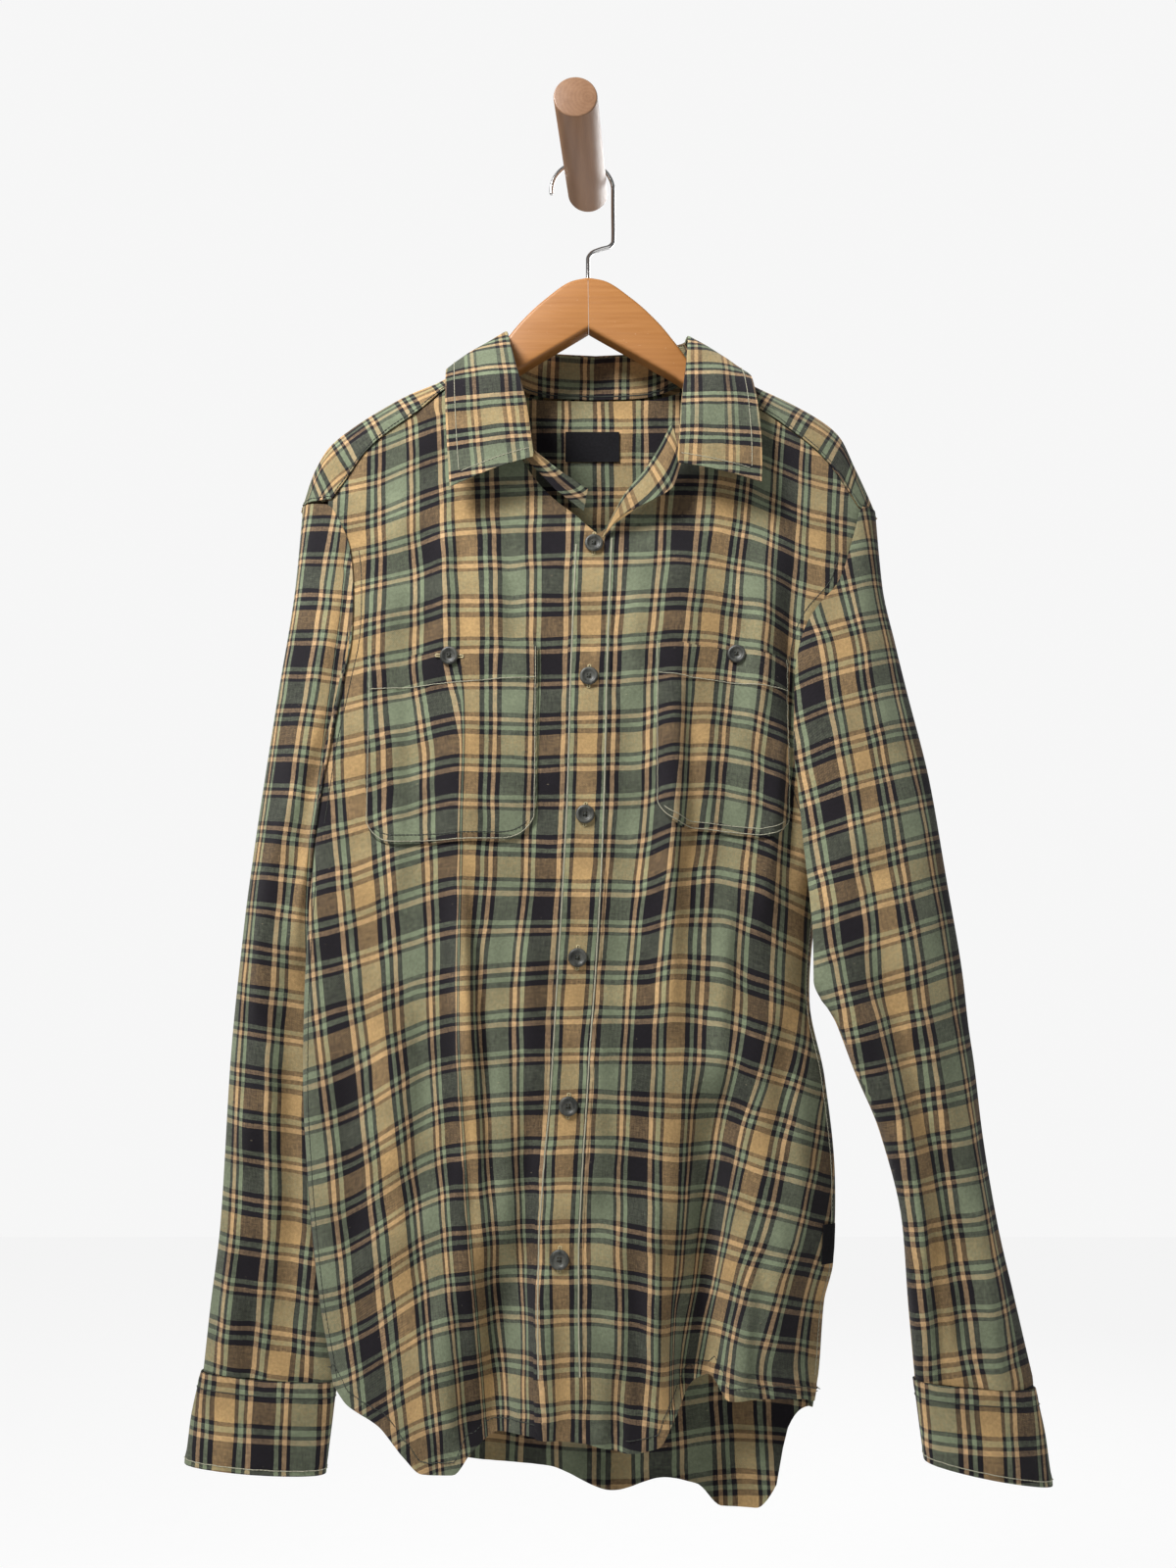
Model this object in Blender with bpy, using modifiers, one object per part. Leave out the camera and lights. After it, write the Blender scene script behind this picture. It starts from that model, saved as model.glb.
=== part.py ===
"""A men's long-sleeved shirt in brushed cotton, on a wooden hanger whose hook hangs from a wooden wall peg.

The origin is the middle of the peg's face on the wall. +Z is up, the shirt faces -Y, and +X is to the right of
somebody who looks at its front. Left and right in the names are the wearer's, so the wearer's right is at -X.
All sizes below are in millimetres, and the last step scales them to metres.
"""

import math

import bmesh
import bpy
import numpy as np
from mathutils import Matrix, Vector

MM = 0.001

# ---------------------------------------------------------------- driving sizes
CLOTH = 1.0                # wall of one piece of cloth
SEAM = 0.35                # gap between pieces that are sewn together
ARMHOLE_GAP = 1.6          # from the armhole line back to the panels' outer faces, whose inner faces lean closer
NECK_MIDDLE = 6.0          # x of the middle of the neck
NECK_SIDE = 87.0           # half the width of the neck seam
PLACKET_WIDTH = 31.5       # free edge to stitch line
BUTTON_RADIUS = 6.6
BUTTON_HEIGHT = 2.6
BUTTON_STEP = 99.3         # drop between the buttons of the placket
FIRST_BUTTON = -329.0      # height of the top one
PLACKET_TOP = -324.0       # height of the placket's upper end in its middle
PEG_RADIUS = 16.2
PEG_LENGTH = 125.0
PEG_LEAN = -9.3            # sideways drift of the peg's outer end
HOOK_WIRE = 1.6            # radius of the hook's wire
HOOK_BOW = 25.0            # radius of the hook's round, along the wire's middle
HOOK_DEPTH = -14.0         # how far the bow hangs out from the wall
HANGER_DEPTH = -44.0       # middle of the wood
HANGER_THICKNESS = 14.0
HANGER_TILT = 0.7          # degrees, the wearer's left arm higher
LENS = 2.5                 # roundness of the body's cross section: 2 is an ellipse, more is boxier
SHOULDER_ARCH = 26.0       # drop over which the cloth rounds off the hanger
UNDERARM = -546.0
SHOULDER_TIP_Y = -47.0     # depth of the outermost point of each shoulder
YOKE_DROP = -305.0         # height of the seam between the yoke and the back
SLEEVE_JOIN = 0.5          # share of the sleeve's length over which it leaves the armhole's form
EDGE = 1 - 2.5e-5          # where a panel ends on the side of the body's cross section


def smooth(places, values, at):
    """A cubic through the values that never overshoots them, held level past both ends."""
    at = np.clip(np.asarray(at, float), places[0], places[-1])
    step = np.diff(places)
    slope = np.diff(values) / step
    tangent = np.zeros(len(places))
    same = slope[:-1] * slope[1:] > 0
    tangent[1:-1][same] = (2 * slope[:-1] * slope[1:])[same] / (slope[:-1] + slope[1:])[same]
    tangent[0] = slope[0]
    tangent[-1] = slope[-1]
    cell = np.clip(np.searchsorted(places, at) - 1, 0, len(places) - 2)
    part = (at - places[cell]) / step[cell]
    rest = 1 - part
    return (
        values[cell] * rest**2 * (1 + 2 * part)
        + values[cell + 1] * part**2 * (3 - 2 * part)
        + tangent[cell] * step[cell] * part * rest**2
        - tangent[cell + 1] * step[cell] * part**2 * rest
    )


def ease(share):
    """0 to 1 with level ends."""
    share = np.clip(share, 0, 1)
    return share * share * (3 - 2 * share)


class Table:
    """Rows of sizes under named columns, read anywhere along the first column."""

    def __init__(self, columns, *rows):
        self.columns = columns.split()
        self.rows = np.array(sorted(rows), float)

    def __call__(self, column, at):
        return smooth(self.rows[:, 0], self.rows[:, self.columns.index(column)], at)


LAP = CLOTH + 0.9                   # how far the left front lies over the right one at the placket
PLACKET_LIFT = LAP + CLOTH + SEAM   # the placket's outer face over the body's surface
POCKET_LIFT = CLOTH + 1.4

# ---------------------------------------------------------------- tables of the body
# Shoulder line over the hanger: x, and the height of the cloth's top there.
RIDGE = Table(
    "x height",
    (-214, -291),
    (-210, -275),
    (-204, -258),
    (-194, -241),
    (-176, -226),
    (-157, -213.5),
    (-134, -200.5),
    (-112, -191),
    (-95, -179.5),
    (-80, -165.5),
    (-64, -148),
    (0, -100),
    (68, -148),
    (84, -165.5),
    (100, -179),
    (124, -193.5),
    (155, -209),
    (178, -223),
    (189, -233.5),
    (199, -256),
    (207, -274),
    (216, -296),
)

# The body's cross sections: side limits, the depth of the front and the back, and of the two side edges.
SECTIONS = Table(
    "height right left front back right_edge left_edge",
    (-150, -216, 218, -76, -20, -46, -46),
    (-300, -216, 218, -82, -19, -48, -48),
    (-353, -210, 210, -84, -18, -51, -48),
    (-430, -203, 203, -86, -18, -57, -48),
    (-480, -199, 196, -87, -18, -61, -47),
    (-546, -195, 176, -88, -18, -66, -45),
    (-600, -197, 163, -88, -18, -68, -44),
    (-655, -198, 158, -88, -18, -68, -45),
    (-709, -197, 167, -88, -18, -68, -47),
    (-775, -192, 172, -88, -18, -67, -49),
    (-833, -185, 169, -87, -19, -66, -50),
    (-859, -181, 162, -87, -20, -65, -50),
    (-905, -172, 157, -86, -21, -62, -50),
    (-940, -167, 150, -86, -22, -58, -48),
    (-1000, -158, 141, -86, -24, -54, -46),
)

# Where the armhole seam crosses each height, on the front and the back.
ARMHOLE = Table(
    "height right_front left_front right_back left_back",
    (-294, -190, 202, -200, 208),
    (-308, -182, 198, -194, 204),
    (-328, -174.5, 192, -190, 198),
    (-351, -171.5, 184, -187, 192),
    (-378, -170.5, 163, -186, 188),
    (-395, -171, 156, -186, 187),
    (-430, -177, 150, -187, 185),
    (-480, -186.5, 149, -190, 184),
    (-525, -192, 158, -192.5, 181),
    (UNDERARM, -195, 176, -195, 176),
)

# Top edge of the fronts, by distance out from the neck's middle: neck curve, then the seam to the yoke.
FRONT_TOP = Table(
    "out right left",
    (-14, -326, -327),
    (0, -319, -321),
    (16, -305, -311),
    (32, -292, -298),
    (48, -273, -285),
    (60, -250, -266),
    (70, -224, -228),
    (80, -196, -199),
    (87, -184, -186),
    (94, -189, -192),
    (115, -208, -216),
    (136, -226, -231),
    (156, -240, -246),
    (172, -255, -261),
    (184, -273, -278),
    (195, -289, -295),
)

# Neck seam at the back, by distance out from the neck's middle.
BACK_NECK = Table("out height", (0, -191), (40, -190), (60, -186), (74, -179), (NECK_SIDE, -169))

# Distances out from the neck's middle at which the yoke is drawn, at its neck or front edge and at its back edge.
# They fan out from the side of the neck, where the neck edge turns over the shoulder line.
YOKE_FRONT_OUT = (0, 20, 40, 58, 70, 78, 82, 85, 85.6, 86.1, 86.7, 87.3, 89, 93, 100, 112, 128, 144, 160, 174, 184, 192, 200, 207)
YOKE_BACK_OUT = (0, 20, 40, 57, 67, 73, 77, 80, 83, 86, 89, 92, 95, 99, 105, 115, 130, 145, 160, 174, 184, 192, 200, 207)
NECK_TURN = (85.0, 87.3)   # distances out between which the neck edge passes over the shoulder line
YOKE_TIPS = {"right": 219.2, "left": 208.7}
YOKE_BACK = Table("out right left", (0, YOKE_DROP, YOKE_DROP), (196, YOKE_DROP, YOKE_DROP), (202, -299, -291), (206, -291, -291), (220, -288, -288))

# Hem edges across the width, and the middle line of the buttons down the front.
FRONT_HEM = Table(
    "x height",
    (-172, -907),
    (-160, -921),
    (-138, -933),
    (-121, -951),
    (-108, -961),
    (-88, -961),
    (-76, -948),
    (-60, -938),
    (-43, -937),
    (-6, -940),
    (25, -948),
    (46, -945),
    (56, -930),
    (70, -908),
    (82, -903),
    (93, -917),
    (109, -916),
    (141, -918),
    (157, -924),
)
BACK_HEM = Table(
    "x height",
    (-172, -908),
    (-150, -930),
    (-120, -955),
    (-83, -967),
    (-27, -973),
    (17, -989),
    (54, -980),
    (75, -984),
    (92, -998),
    (115, -998),
    (129, -982),
    (136, -948),
    (146, -932),
    (157, -926),
)
BUTTON_LINE = Table(
    "height x",
    (-290, 6),
    (-329, 4.2),
    (-429, 0.7),
    (-528, -2),
    (-629, -7.4),
    (-726, -13.2),
    (-825, -18.8),
    (-950, -17.5),
)

# The largest folds: x and height of the top end, x and height of the low end, how far the fold stands out
# (troughs are negative), and half its width.
FRONT_FOLDS = (
    (-128, -300, -126, -560, -6, 17),
    (-150, -330, -160, -520, 5, 18),
    (-92, -430, -74, -760, 6, 15),
    (-66, -700, -84, -940, 6, 16),
    (-60, -800, -62, -985, -20, 15),
    (-105, -840, -98, -985, 6, 20),
    (66, -300, 52, -720, 6, 17),
    (104, -290, 96, -620, -4, 16),
    (118, -620, 130, -900, 8, 22),
    (88, -690, 68, -960, -20, 16),
    (20, -780, 22, -970, 4, 20),
    (-30, -330, -40, -640, -3, 15),
)
BACK_FOLDS = (
    (-120, -330, -110, -760, -5, 18),
    (-50, -300, -62, -980, 5, 20),
    (60, -300, 40, -990, -5, 20),
    (100, -560, 96, -1020, 7, 20),
    (-128, -720, -120, -960, 5, 18),
    (10, -700, 14, -1000, 5, 22),
)
FOLD_FADE = 60.0  # length over which a fold dies out at its ends

# ---------------------------------------------------------------- tables of the sleeves and cuffs
# Cross sections of each sleeve: the inner and the outer side, their depths, and half the tube's thickness.
SLEEVES = {
    "right": Table(
        "height inner outer inner_y outer_y half",
        (-285, -178, -215, -50, -48, 20),
        (-350, -178, -219, -52, -46, 25),
        (-430, -186, -229.5, -48, -42, 24),
        (-520, -195.5, -241, -44, -37, 21),
        (-560, -199, -245.5, -41, -35, 20.5),
        (-600, -200.5, -249.5, -38, -33, 20),
        (-700, -190, -257, -29, -28, 19),
        (-810, -181, -260, -26, -26, 17),
        (-870, -178, -265, -26, -26, 16),
        (-915, -176, -268, -27, -27, 15),
    ),
    "left": Table(
        "height inner outer inner_y outer_y half",
        (-285, 178, 216, -52, -48, 20),
        (-350, 166, 219.5, -76, -48, 25),
        (-400, 151, 228, -92, -50, 25),
        (-430, 146, 233, -97, -54, 23),
        (-500, 145, 246, -100, -60, 21),
        (-573, 145, 255, -102, -62, 20),
        (-642, 145, 263, -104, -64, 20),
        (-672, 163, 265, -104, -64, 20),
        (-701, 177, 268, -102, -64, 20),
        (-743, 195, 271, -98, -64, 21),
        (-804, 209, 278.5, -93, -64, 21),
        (-854, 212, 288, -88, -64, 20),
        (-905, 216, 298, -82, -64, 18),
    ),
}
# Height of the seam to the cuff on the inner and the outer side.
SLEEVE_END = {"right": (-916.0, -909.0), "left": (-902.0, -911.0)}
# x and height of the outermost point of each shoulder, where the sleeve's cap starts.
SHOULDER_TIPS = {"right": (-215.2, -290.0), "left": (216.8, -295.0)}
# Folds run down a sleeve at a share of the turn round it, where 0 is the outer side, 0.25 the front and 0.5 the
# inner side: turn, top height, low height, how far the fold stands out, and half its width as a share of the turn.
SLEEVE_FOLDS = {
    "right": (
        (0.17, -420, -800, 4, 0.05),
        (0.30, -620, -930, -6, 0.06),
        (0.80, -450, -930, -6, 0.07),
    ),
    "left": (
        (0.30, -360, -640, 5, 0.06),
        (0.27, -600, -930, -9, 0.05),
        (0.13, -480, -900, 4, 0.05),
        (0.75, -450, -930, -8, 0.07),
    ),
}
# Cuff rings from the seam down: drop below the seam, shift outwards, and extra half thickness.
CUFF_ROWS = Table("drop shift half", (0, 0, 1.5), (30, 4, 2.0), (60, 7, 2.5))
CUFF_HEIGHT = {"right": (60.0, 60.0), "left": (50.0, 61.0)}  # on the inner and the outer side
SLEEVE_PLACKET_LIFT = {"right": 3.2, "left": 2.5}
CUFF_LAP = 0.14       # share of the turn by which the cuff's ends overlap
CUFF_BUTTON_GAP = {"right": 0.5, "left": 0.9}
CUFF_OPENS_AT = 0.72  # share of the turn where they do, on the back

# ---------------------------------------------------------------- tables of the collar
# Half of the collar from the middle of the back to the fall's front end. Distances out are from the neck's
# middle. seam = where the stand is sewn on, roll = its top, edge = the outer edge of the fall,
# arch = how high the fall arches between the roll and the edge.
COLLAR = Table(
    "station seam_out seam_y seam_z roll_out roll_y roll_z edge_out edge_y edge_z arch",
    (0, 0, -20, -189, 0, -17, -152, 0, -9, -197, 2.5),
    (1, 34, -21, -188, 33, -19, -151, 42, -9, -201, 2.5),
    (2, 62, -26, -181.5, 59, -27, -149, 82, -10, -204, 3.5),
    (3, 79, -35, -168, 68.5, -37, -149.5, 102, -12, -198, 3.5),
    (4, 85, -47, -163.5, 70, -47, -149.5, 111, -38, -181, 2),
    (5, 86, -64, -169, 68.5, -63, -155, 112, -72, -188, 2),
    (6, 79, -81, -196, 62, -81, -186, 111, -89, -215, 2.5),
    (7, 68, -87, -228, 53, -90, -221, 109, -94, -251, 2.5),
    (8, 53, -90, -264, 47, -97, -261, 106, -97, -288, 2.5),
)
RIGHT_STAND_END = ((30, -92, -290, 27, -98, -278), (9, -90, -306, 6, -95, -291))
LEFT_SPREAD = 13.0    # how much wider the fall's front end stands on the wearer's left
LEFT_DROP = 5.0       # how much lower the collar lies beside the neck on the wearer's left

# The top of the placket with the stand's end, turned out: fold line, then free edge.
TURNED_OUT = Table(
    "station fold_x fold_y fold_z free_x free_y free_z",
    (0, 13, -87.45, -317.5, 10.4, -87.55, -325.2),
    (1, 27, -89.5, -292, 24, -92, -310),
    (2, 42, -92, -274, 47, -95.5, -299),
    (3, 52, -94, -258, 62, -97, -289),
    (4, 61, -95, -240, 67.3, -96, -272),
)

# ---------------------------------------------------------------- tables of what lies on the panels
# Pocket outlines: sides, the two ends of the top edge, the two ends of the bottom.
POCKETS = {
    "right": {"inner": -36.0, "outer": -157.0, "top": (-404.0, -413.0), "bottom": (-545.0, -549.0)},
    "left": {"inner": 48.0, "outer": 143.0, "top": (-402.0, -412.0), "bottom": (-536.0, -545.0)},
}
POCKET_CORNER = 24.0
POCKET_BUTTONS = {"right": (-98.6, -412.7, 0.3), "left": (107.0, -410.5, 0.95)}  # x, height, gap to the pocket

LABEL_WALL = 0.6
NECK_LABEL = {"sides": (-17.6, 24.4), "ends": (-241.0, -216.5)}
SIDE_LABEL = {"in": 3.0, "width": 9.0, "ends": (-832.0, -806.0)}

# Outline of the hanger's arm: distance out from its middle, top and underside.
HANGER_ARM = Table(
    "out top under",
    (0, -101, -144),
    (12, -103.5, -151.5),
    (34, -119, -165),
    (53, -138, -177),
    (67, -156.5, -186),
    (80, -176, -197),
    (95, -191.5, -209),
    (110, -204.5, -221),
    (132, -216, -236),
    (155, -230, -249),
    (174, -242, -261),
    (188, -253, -269),
)
HANGER_BEVEL = 3.0

# The hook's wire below its bow: x, depth, height.
HOOK_SHANK = (
    (20.3, -14.5, -22),
    (20.3, -20, -42),
    (20.0, -27, -58),
    (17.0, -30, -64),
    (10.0, -33, -68),
    (3.0, -36, -73),
    (0.0, -39, -80),
    (0.0, -43, -95),
    (0.0, -44, -100.3),
)

COLOURS = {
    "plaid": ((0.20, 0.19, 0.12), 0.9, 0.0),
    "button": ((0.06, 0.07, 0.06), 0.45, 0.0),
    "label": ((0.02, 0.02, 0.02), 0.8, 0.0),
    "pale wood": ((0.61, 0.33, 0.13), 0.4, 0.0),
    "peg wood": ((0.36, 0.22, 0.13), 0.6, 0.0),
    "steel": ((0.8, 0.8, 0.8), 0.2, 1.0),
}


# ---------------------------------------------------------------- scene helpers
def clear_scene():
    for thing in list(bpy.data.objects):
        bpy.data.objects.remove(thing)


def new_collection(name):
    collection = bpy.data.collections.new(name)
    bpy.context.scene.collection.children.link(collection)
    return collection


def new_material(name):
    colour, roughness, metallic = COLOURS[name]
    material = bpy.data.materials.new(name)
    material.use_nodes = True
    shader = material.node_tree.nodes["Principled BSDF"]
    shader.inputs["Base Color"].default_value = (*colour, 1)
    shader.inputs["Roughness"].default_value = roughness
    shader.inputs["Metallic"].default_value = metallic
    return material


clear_scene()
SHIRT = new_collection("long_sleeved_shirt_on_hanger")


def add_object(name, data, material_name):
    thing = bpy.data.objects.new(name, data)
    thing.data.materials.append(new_material(material_name))
    thing.active_material.name = name
    SHIRT.objects.link(thing)
    return thing


def add_shape(name, shape, material_name, smooth_shaded=True):
    """Makes an object from a bmesh whose points are in millimetres."""
    bmesh.ops.scale(shape, vec=(MM, MM, MM), verts=shape.verts)
    mesh = bpy.data.meshes.new(name)
    shape.to_mesh(mesh)
    shape.free()
    if smooth_shaded:
        mesh.shade_smooth()
        mesh.set_sharp_from_angle(angle=math.radians(40))
    return add_object(name, mesh, material_name)


def add_cloth(name, points, outside, thickness=CLOTH, tube=False, material_name="plaid"):
    """A sheet through a grid of points, thickened inwards. outside is a direction out of its middle face."""
    columns, rows = points.shape[:2]
    sheet = bmesh.new()
    bmesh.ops.create_grid(sheet, x_segments=columns - 1, y_segments=rows - 1, size=0.5)
    for vertex in sheet.verts:
        column = round((vertex.co.x + 0.5) * (columns - 1))
        row = round((vertex.co.y + 0.5) * (rows - 1))
        vertex.co = points[column, row]
    if tube:
        bmesh.ops.remove_doubles(sheet, verts=sheet.verts, dist=0.001)
    sheet.normal_update()
    middle = points[columns // 2, rows // 2]
    near = min(sheet.faces, key=lambda face: (face.calc_center_median() - Vector(middle)).length)
    if near.normal.dot(Vector(outside)) < 0:
        bmesh.ops.reverse_faces(sheet, faces=sheet.faces)
    cloth = add_shape(name, sheet, material_name)
    shell = cloth.modifiers.new("cloth wall", "SOLIDIFY")
    shell.thickness = thickness * MM
    shell.offset = -1
    shell.use_quality_normals = True
    return cloth


# ---------------------------------------------------------------- the body's surface
def folds_at(x, z, folds):
    """How far the folds push the cloth out at a place."""
    out = np.zeros(np.broadcast(x, z).shape)
    for top_x, top_z, low_x, low_z, depth, width in folds:
        along = np.clip((top_z - z) / (top_z - low_z), 0, 1)
        line = top_x + (low_x - top_x) * along
        fade = ease((top_z - z) / FOLD_FADE) * ease((z - low_z) / FOLD_FADE)
        out = out + depth * fade * np.exp(-(((x - line) / width) ** 2))
    return out


def body_depth(x, z, side):
    """Depth of the body's outer face. side is -1 on the front and 1 on the back."""
    right, left = SECTIONS("right", z), SECTIONS("left", z)
    across = np.clip(2 * (x - right) / (left - right) - 1, -EDGE, EDGE)
    edge = SECTIONS("right_edge", z) * (1 - across) / 2 + SECTIONS("left_edge", z) * (1 + across) / 2
    flat = SECTIONS("front" if side < 0 else "back", z)
    lens = (1 - np.abs(across) ** LENS) ** (1 / LENS)
    drop = np.clip((RIDGE("height", x) - z) / SHOULDER_ARCH, 0, 1)
    arch = np.sqrt(1 - (1 - drop) ** 2)
    folds = folds_at(x, z, FRONT_FOLDS if side < 0 else BACK_FOLDS)
    return edge + (flat - edge + side * folds) * lens * arch


def body_points(x, z, side, lift=0.0):
    """Points on the body, moved out from it by the lift."""
    x, z = np.broadcast_arrays(np.asarray(x, float), np.asarray(z, float))
    depth = body_depth(x, z, side)
    step = 1.5
    slope_x = (body_depth(x + step, z, side) - body_depth(x - step, z, side)) / (2 * step)
    slope_z = (body_depth(x, z + step, side) - body_depth(x, z - step, side)) / (2 * step)
    out = np.stack([-slope_x, np.ones_like(x), -slope_z], axis=-1) * side
    out /= np.linalg.norm(out, axis=-1, keepdims=True)
    return np.stack([x, depth, z], axis=-1) + out * np.broadcast_to(lift, x.shape)[..., None]


def button_line(z):
    return BUTTON_LINE("x", z)


def side_line(z, wearer, face):
    """The panel's side edge at a height: the armhole seam, then the side seam."""
    middle = (SECTIONS("right", z) + SECTIONS("left", z)) / 2
    half = (SECTIONS("left", z) - SECTIONS("right", z)) / 2
    sign = -1 if wearer == "right" else 1
    seam = middle + sign * half * EDGE
    armhole = ARMHOLE(f"{wearer}_{face}", z) - sign * ARMHOLE_GAP
    return np.where(z > UNDERARM, armhole, seam)


# ---------------------------------------------------------------- cloth pieces of the body
def front_grid(wearer, columns, rows):
    """x and z over a front, from its edge at the middle to its side."""
    sign = -1 if wearer == "right" else 1
    share = np.linspace(0, 1, columns)[:, None]
    share = 0.45 * share + 0.55 * np.sin(share * math.pi / 2)

    def x_at(z):
        inner = button_line(z) + PLACKET_WIDTH * 0.45 if wearer == "right" else button_line(z) - PLACKET_WIDTH / 2
        return inner + (side_line(z, wearer, "front") - inner) * share

    low = np.full((columns, 1), -930.0)
    high = np.full((columns, 1), -270.0)
    for _ in range(60):
        low = 0.5 * low + 0.5 * FRONT_HEM("height", x_at(low))
        out = sign * (x_at(high) - NECK_MIDDLE)
        high = 0.5 * high + 0.5 * (FRONT_TOP(wearer, out) - SEAM)
    z = low + (high - low) * np.linspace(0, 1, rows)[None, :]
    return x_at(z), z


def band_lift(x, z):
    """The left front lies over the right one along the placket, and settles beside it."""
    past = (x - button_line(z) - PLACKET_WIDTH / 2) / 16
    return LAP * (1 - ease(past))


def make_fronts(columns=13, rows=27):
    x, z = front_grid("right", columns, rows)
    add_cloth("right_front", body_points(x, z, -1), (0, -1, 0))
    x, z = front_grid("left", columns, rows)
    add_cloth("left_front", body_points(x, z, -1, band_lift(x, z)), (0, -1, 0))


def make_placket(columns=3, rows=30):
    share = np.linspace(-0.5, 0.5, columns)[:, None]
    z_low = FRONT_HEM("height", button_line(-945.0) + share * PLACKET_WIDTH)
    z_high = PLACKET_TOP + 6 * share
    z = z_low + (z_high - z_low) * np.linspace(0, 1, rows)[None, :]
    x = button_line(z) + share * PLACKET_WIDTH
    add_cloth("placket", body_points(x, z, -1, PLACKET_LIFT), (0, -1, 0))


def make_back(columns=21, rows=23):
    share = np.linspace(-1, 1, columns)[:, None]
    share = 0.35 * share + 0.65 * np.sin(share * math.pi / 2)

    def x_at(z):
        right, left = side_line(z, "right", "back"), side_line(z, "left", "back")
        return (right + left) / 2 + share * (left - right) / 2

    low = np.full((columns, 1), -950.0)
    for _ in range(60):
        low = 0.5 * low + 0.5 * BACK_HEM("height", x_at(low))
    high = YOKE_DROP - SEAM + 0 * low
    z = low + (high - low) * np.linspace(0, 1, rows)[None, :]
    add_cloth("back", body_points(x_at(z), z, 1), (0, 1, 0))


def yoke_points(lift, rows=11):
    """The yoke from its front seam over the shoulder line to the back, with its neck edge in between."""
    halves = []
    for wearer, side in (("right", -1), ("left", 1)):
        out = np.append(YOKE_FRONT_OUT, YOKE_TIPS[wearer])[:, None]
        out_behind = np.append(YOKE_BACK_OUT, YOKE_TIPS[wearer])[:, None]
        ridge = RIDGE("height", NECK_MIDDLE + side * out)
        front = -arc_length(ridge - np.minimum(FRONT_TOP(wearer, out) + SEAM, ridge - 1.5))
        neck = arc_length(ridge - BACK_NECK("height", out))
        first, last = NECK_TURN
        turning = np.clip((out - first) / (last - first), 0, 1)
        at_first = neck[YOKE_FRONT_OUT.index(first)]
        at_last = front[YOKE_FRONT_OUT.index(last)]
        start = np.where(out < first, neck, at_first + (at_last - at_first) * turning)
        start = np.where(out > last, front, start)
        ridge_behind = RIDGE("height", NECK_MIDDLE + side * out_behind)
        end = arc_length(np.maximum(ridge_behind - YOKE_BACK(wearer, out_behind), 1.5))
        share = np.linspace(0, 1, rows)[None, :]
        walk = start + (end - start) * share
        x = NECK_MIDDLE + side * (out + (out_behind - out) * share)
        quarter = SHOULDER_ARCH * math.pi / 2
        drop = np.where(
            np.abs(walk) < quarter,
            SHOULDER_ARCH * (1 - np.cos(np.abs(walk) / SHOULDER_ARCH)),
            SHOULDER_ARCH + np.abs(walk) - quarter,
        )
        z = RIDGE("height", x) - drop
        points = np.where((walk < 0)[..., None], body_points(x, z, -1, lift), body_points(x, z, 1, lift))
        halves.append(points)
    return np.concatenate([halves[0][::-1], halves[1][1:]])


def arc_length(drop):
    """Distance along the cloth from the shoulder line down to a drop below it."""
    share = np.clip(drop / SHOULDER_ARCH, 0, 1)
    return SHOULDER_ARCH * np.arccos(1 - share) + np.maximum(drop - SHOULDER_ARCH, 0)


def make_yoke():
    """The yoke's two layers, between which the fronts and the back are sewn."""
    add_cloth("yoke", yoke_points(CLOTH + SEAM), (0, 1, 0))
    add_cloth("yoke_facing", yoke_points(-CLOTH - 2 * SEAM), (0, 1, 0))


# ---------------------------------------------------------------- sleeves and cuffs
def along_path(points, shares):
    """Points at shares of the length of a path."""
    length = np.concatenate([[0], np.cumsum(np.linalg.norm(np.diff(points, axis=0), axis=1))])
    return np.stack([np.interp(shares * length[-1], length, points[:, k]) for k in range(3)], axis=-1)


def armhole_loop(wearer, turns):
    """The armhole from the tip of the shoulder (turn 0) down the front to the underarm (0.5) and up the back."""
    sign = -1 if wearer == "right" else 1
    tip_x, tip_z = SHOULDER_TIPS[wearer]
    halves = []
    for face, side in (("front", -1), ("back", 1)):
        z = np.concatenate([[-294.0], np.linspace(-308, UNDERARM + 0.5, 24)])
        x = ARMHOLE(f"{wearer}_{face}", z)
        across = np.linspace(0.12, 1, 5)[:-1]
        x = np.concatenate([tip_x + (x[0] - tip_x) * across, x])
        z = np.concatenate([tip_z + (z[0] - tip_z) * across - 1.5, z])
        path = body_points(x + sign * SEAM, z, side, CLOTH + 2 * SEAM)
        tip = np.array([[tip_x + sign * 1.2, SHOULDER_TIP_Y, tip_z - 1]])
        path = np.concatenate([tip, path])
        halves.append(path)
    middle_tip = (halves[0][0] + halves[1][0]) / 2
    middle_low = (halves[0][-1] + halves[1][-1]) / 2
    for half in halves:
        half[0] = middle_tip
        half[-1] = middle_low
    front = along_path(halves[0], np.clip(turns * 2, 0, 1))
    back = along_path(halves[1], np.clip(2 - turns * 2, 0, 1))
    return np.where((turns <= 0.5)[..., None], front, back)


def sleeve_section(wearer, turns, z, wider=0.0):
    """Points of the sleeve's tube at each turn and height."""
    table = SLEEVES[wearer]
    inner, outer = table("inner", z), table("outer", z)
    inner_y, outer_y = table("inner_y", z), table("outer_y", z)
    half = table("half", z) + wider
    angle = turns * 2 * math.pi
    reach = np.cos(angle)
    bulge = np.sign(np.sin(angle)) * np.abs(np.sin(angle)) ** 0.8
    for turn, top_z, low_z, depth, width in SLEEVE_FOLDS[wearer]:
        fade = ease((top_z - z) / FOLD_FADE) * ease((z - low_z) / FOLD_FADE)
        half = half + depth * fade * np.exp(-(((turns - turn) / width) ** 2))
    x = (inner + outer) / 2 + (outer - inner) / 2 * reach * (1 + wider / 40)
    y = (inner_y + outer_y) / 2 + (outer_y - inner_y) / 2 * reach - half * bulge
    return np.stack([x, y, z + 0 * x], axis=-1)


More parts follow.
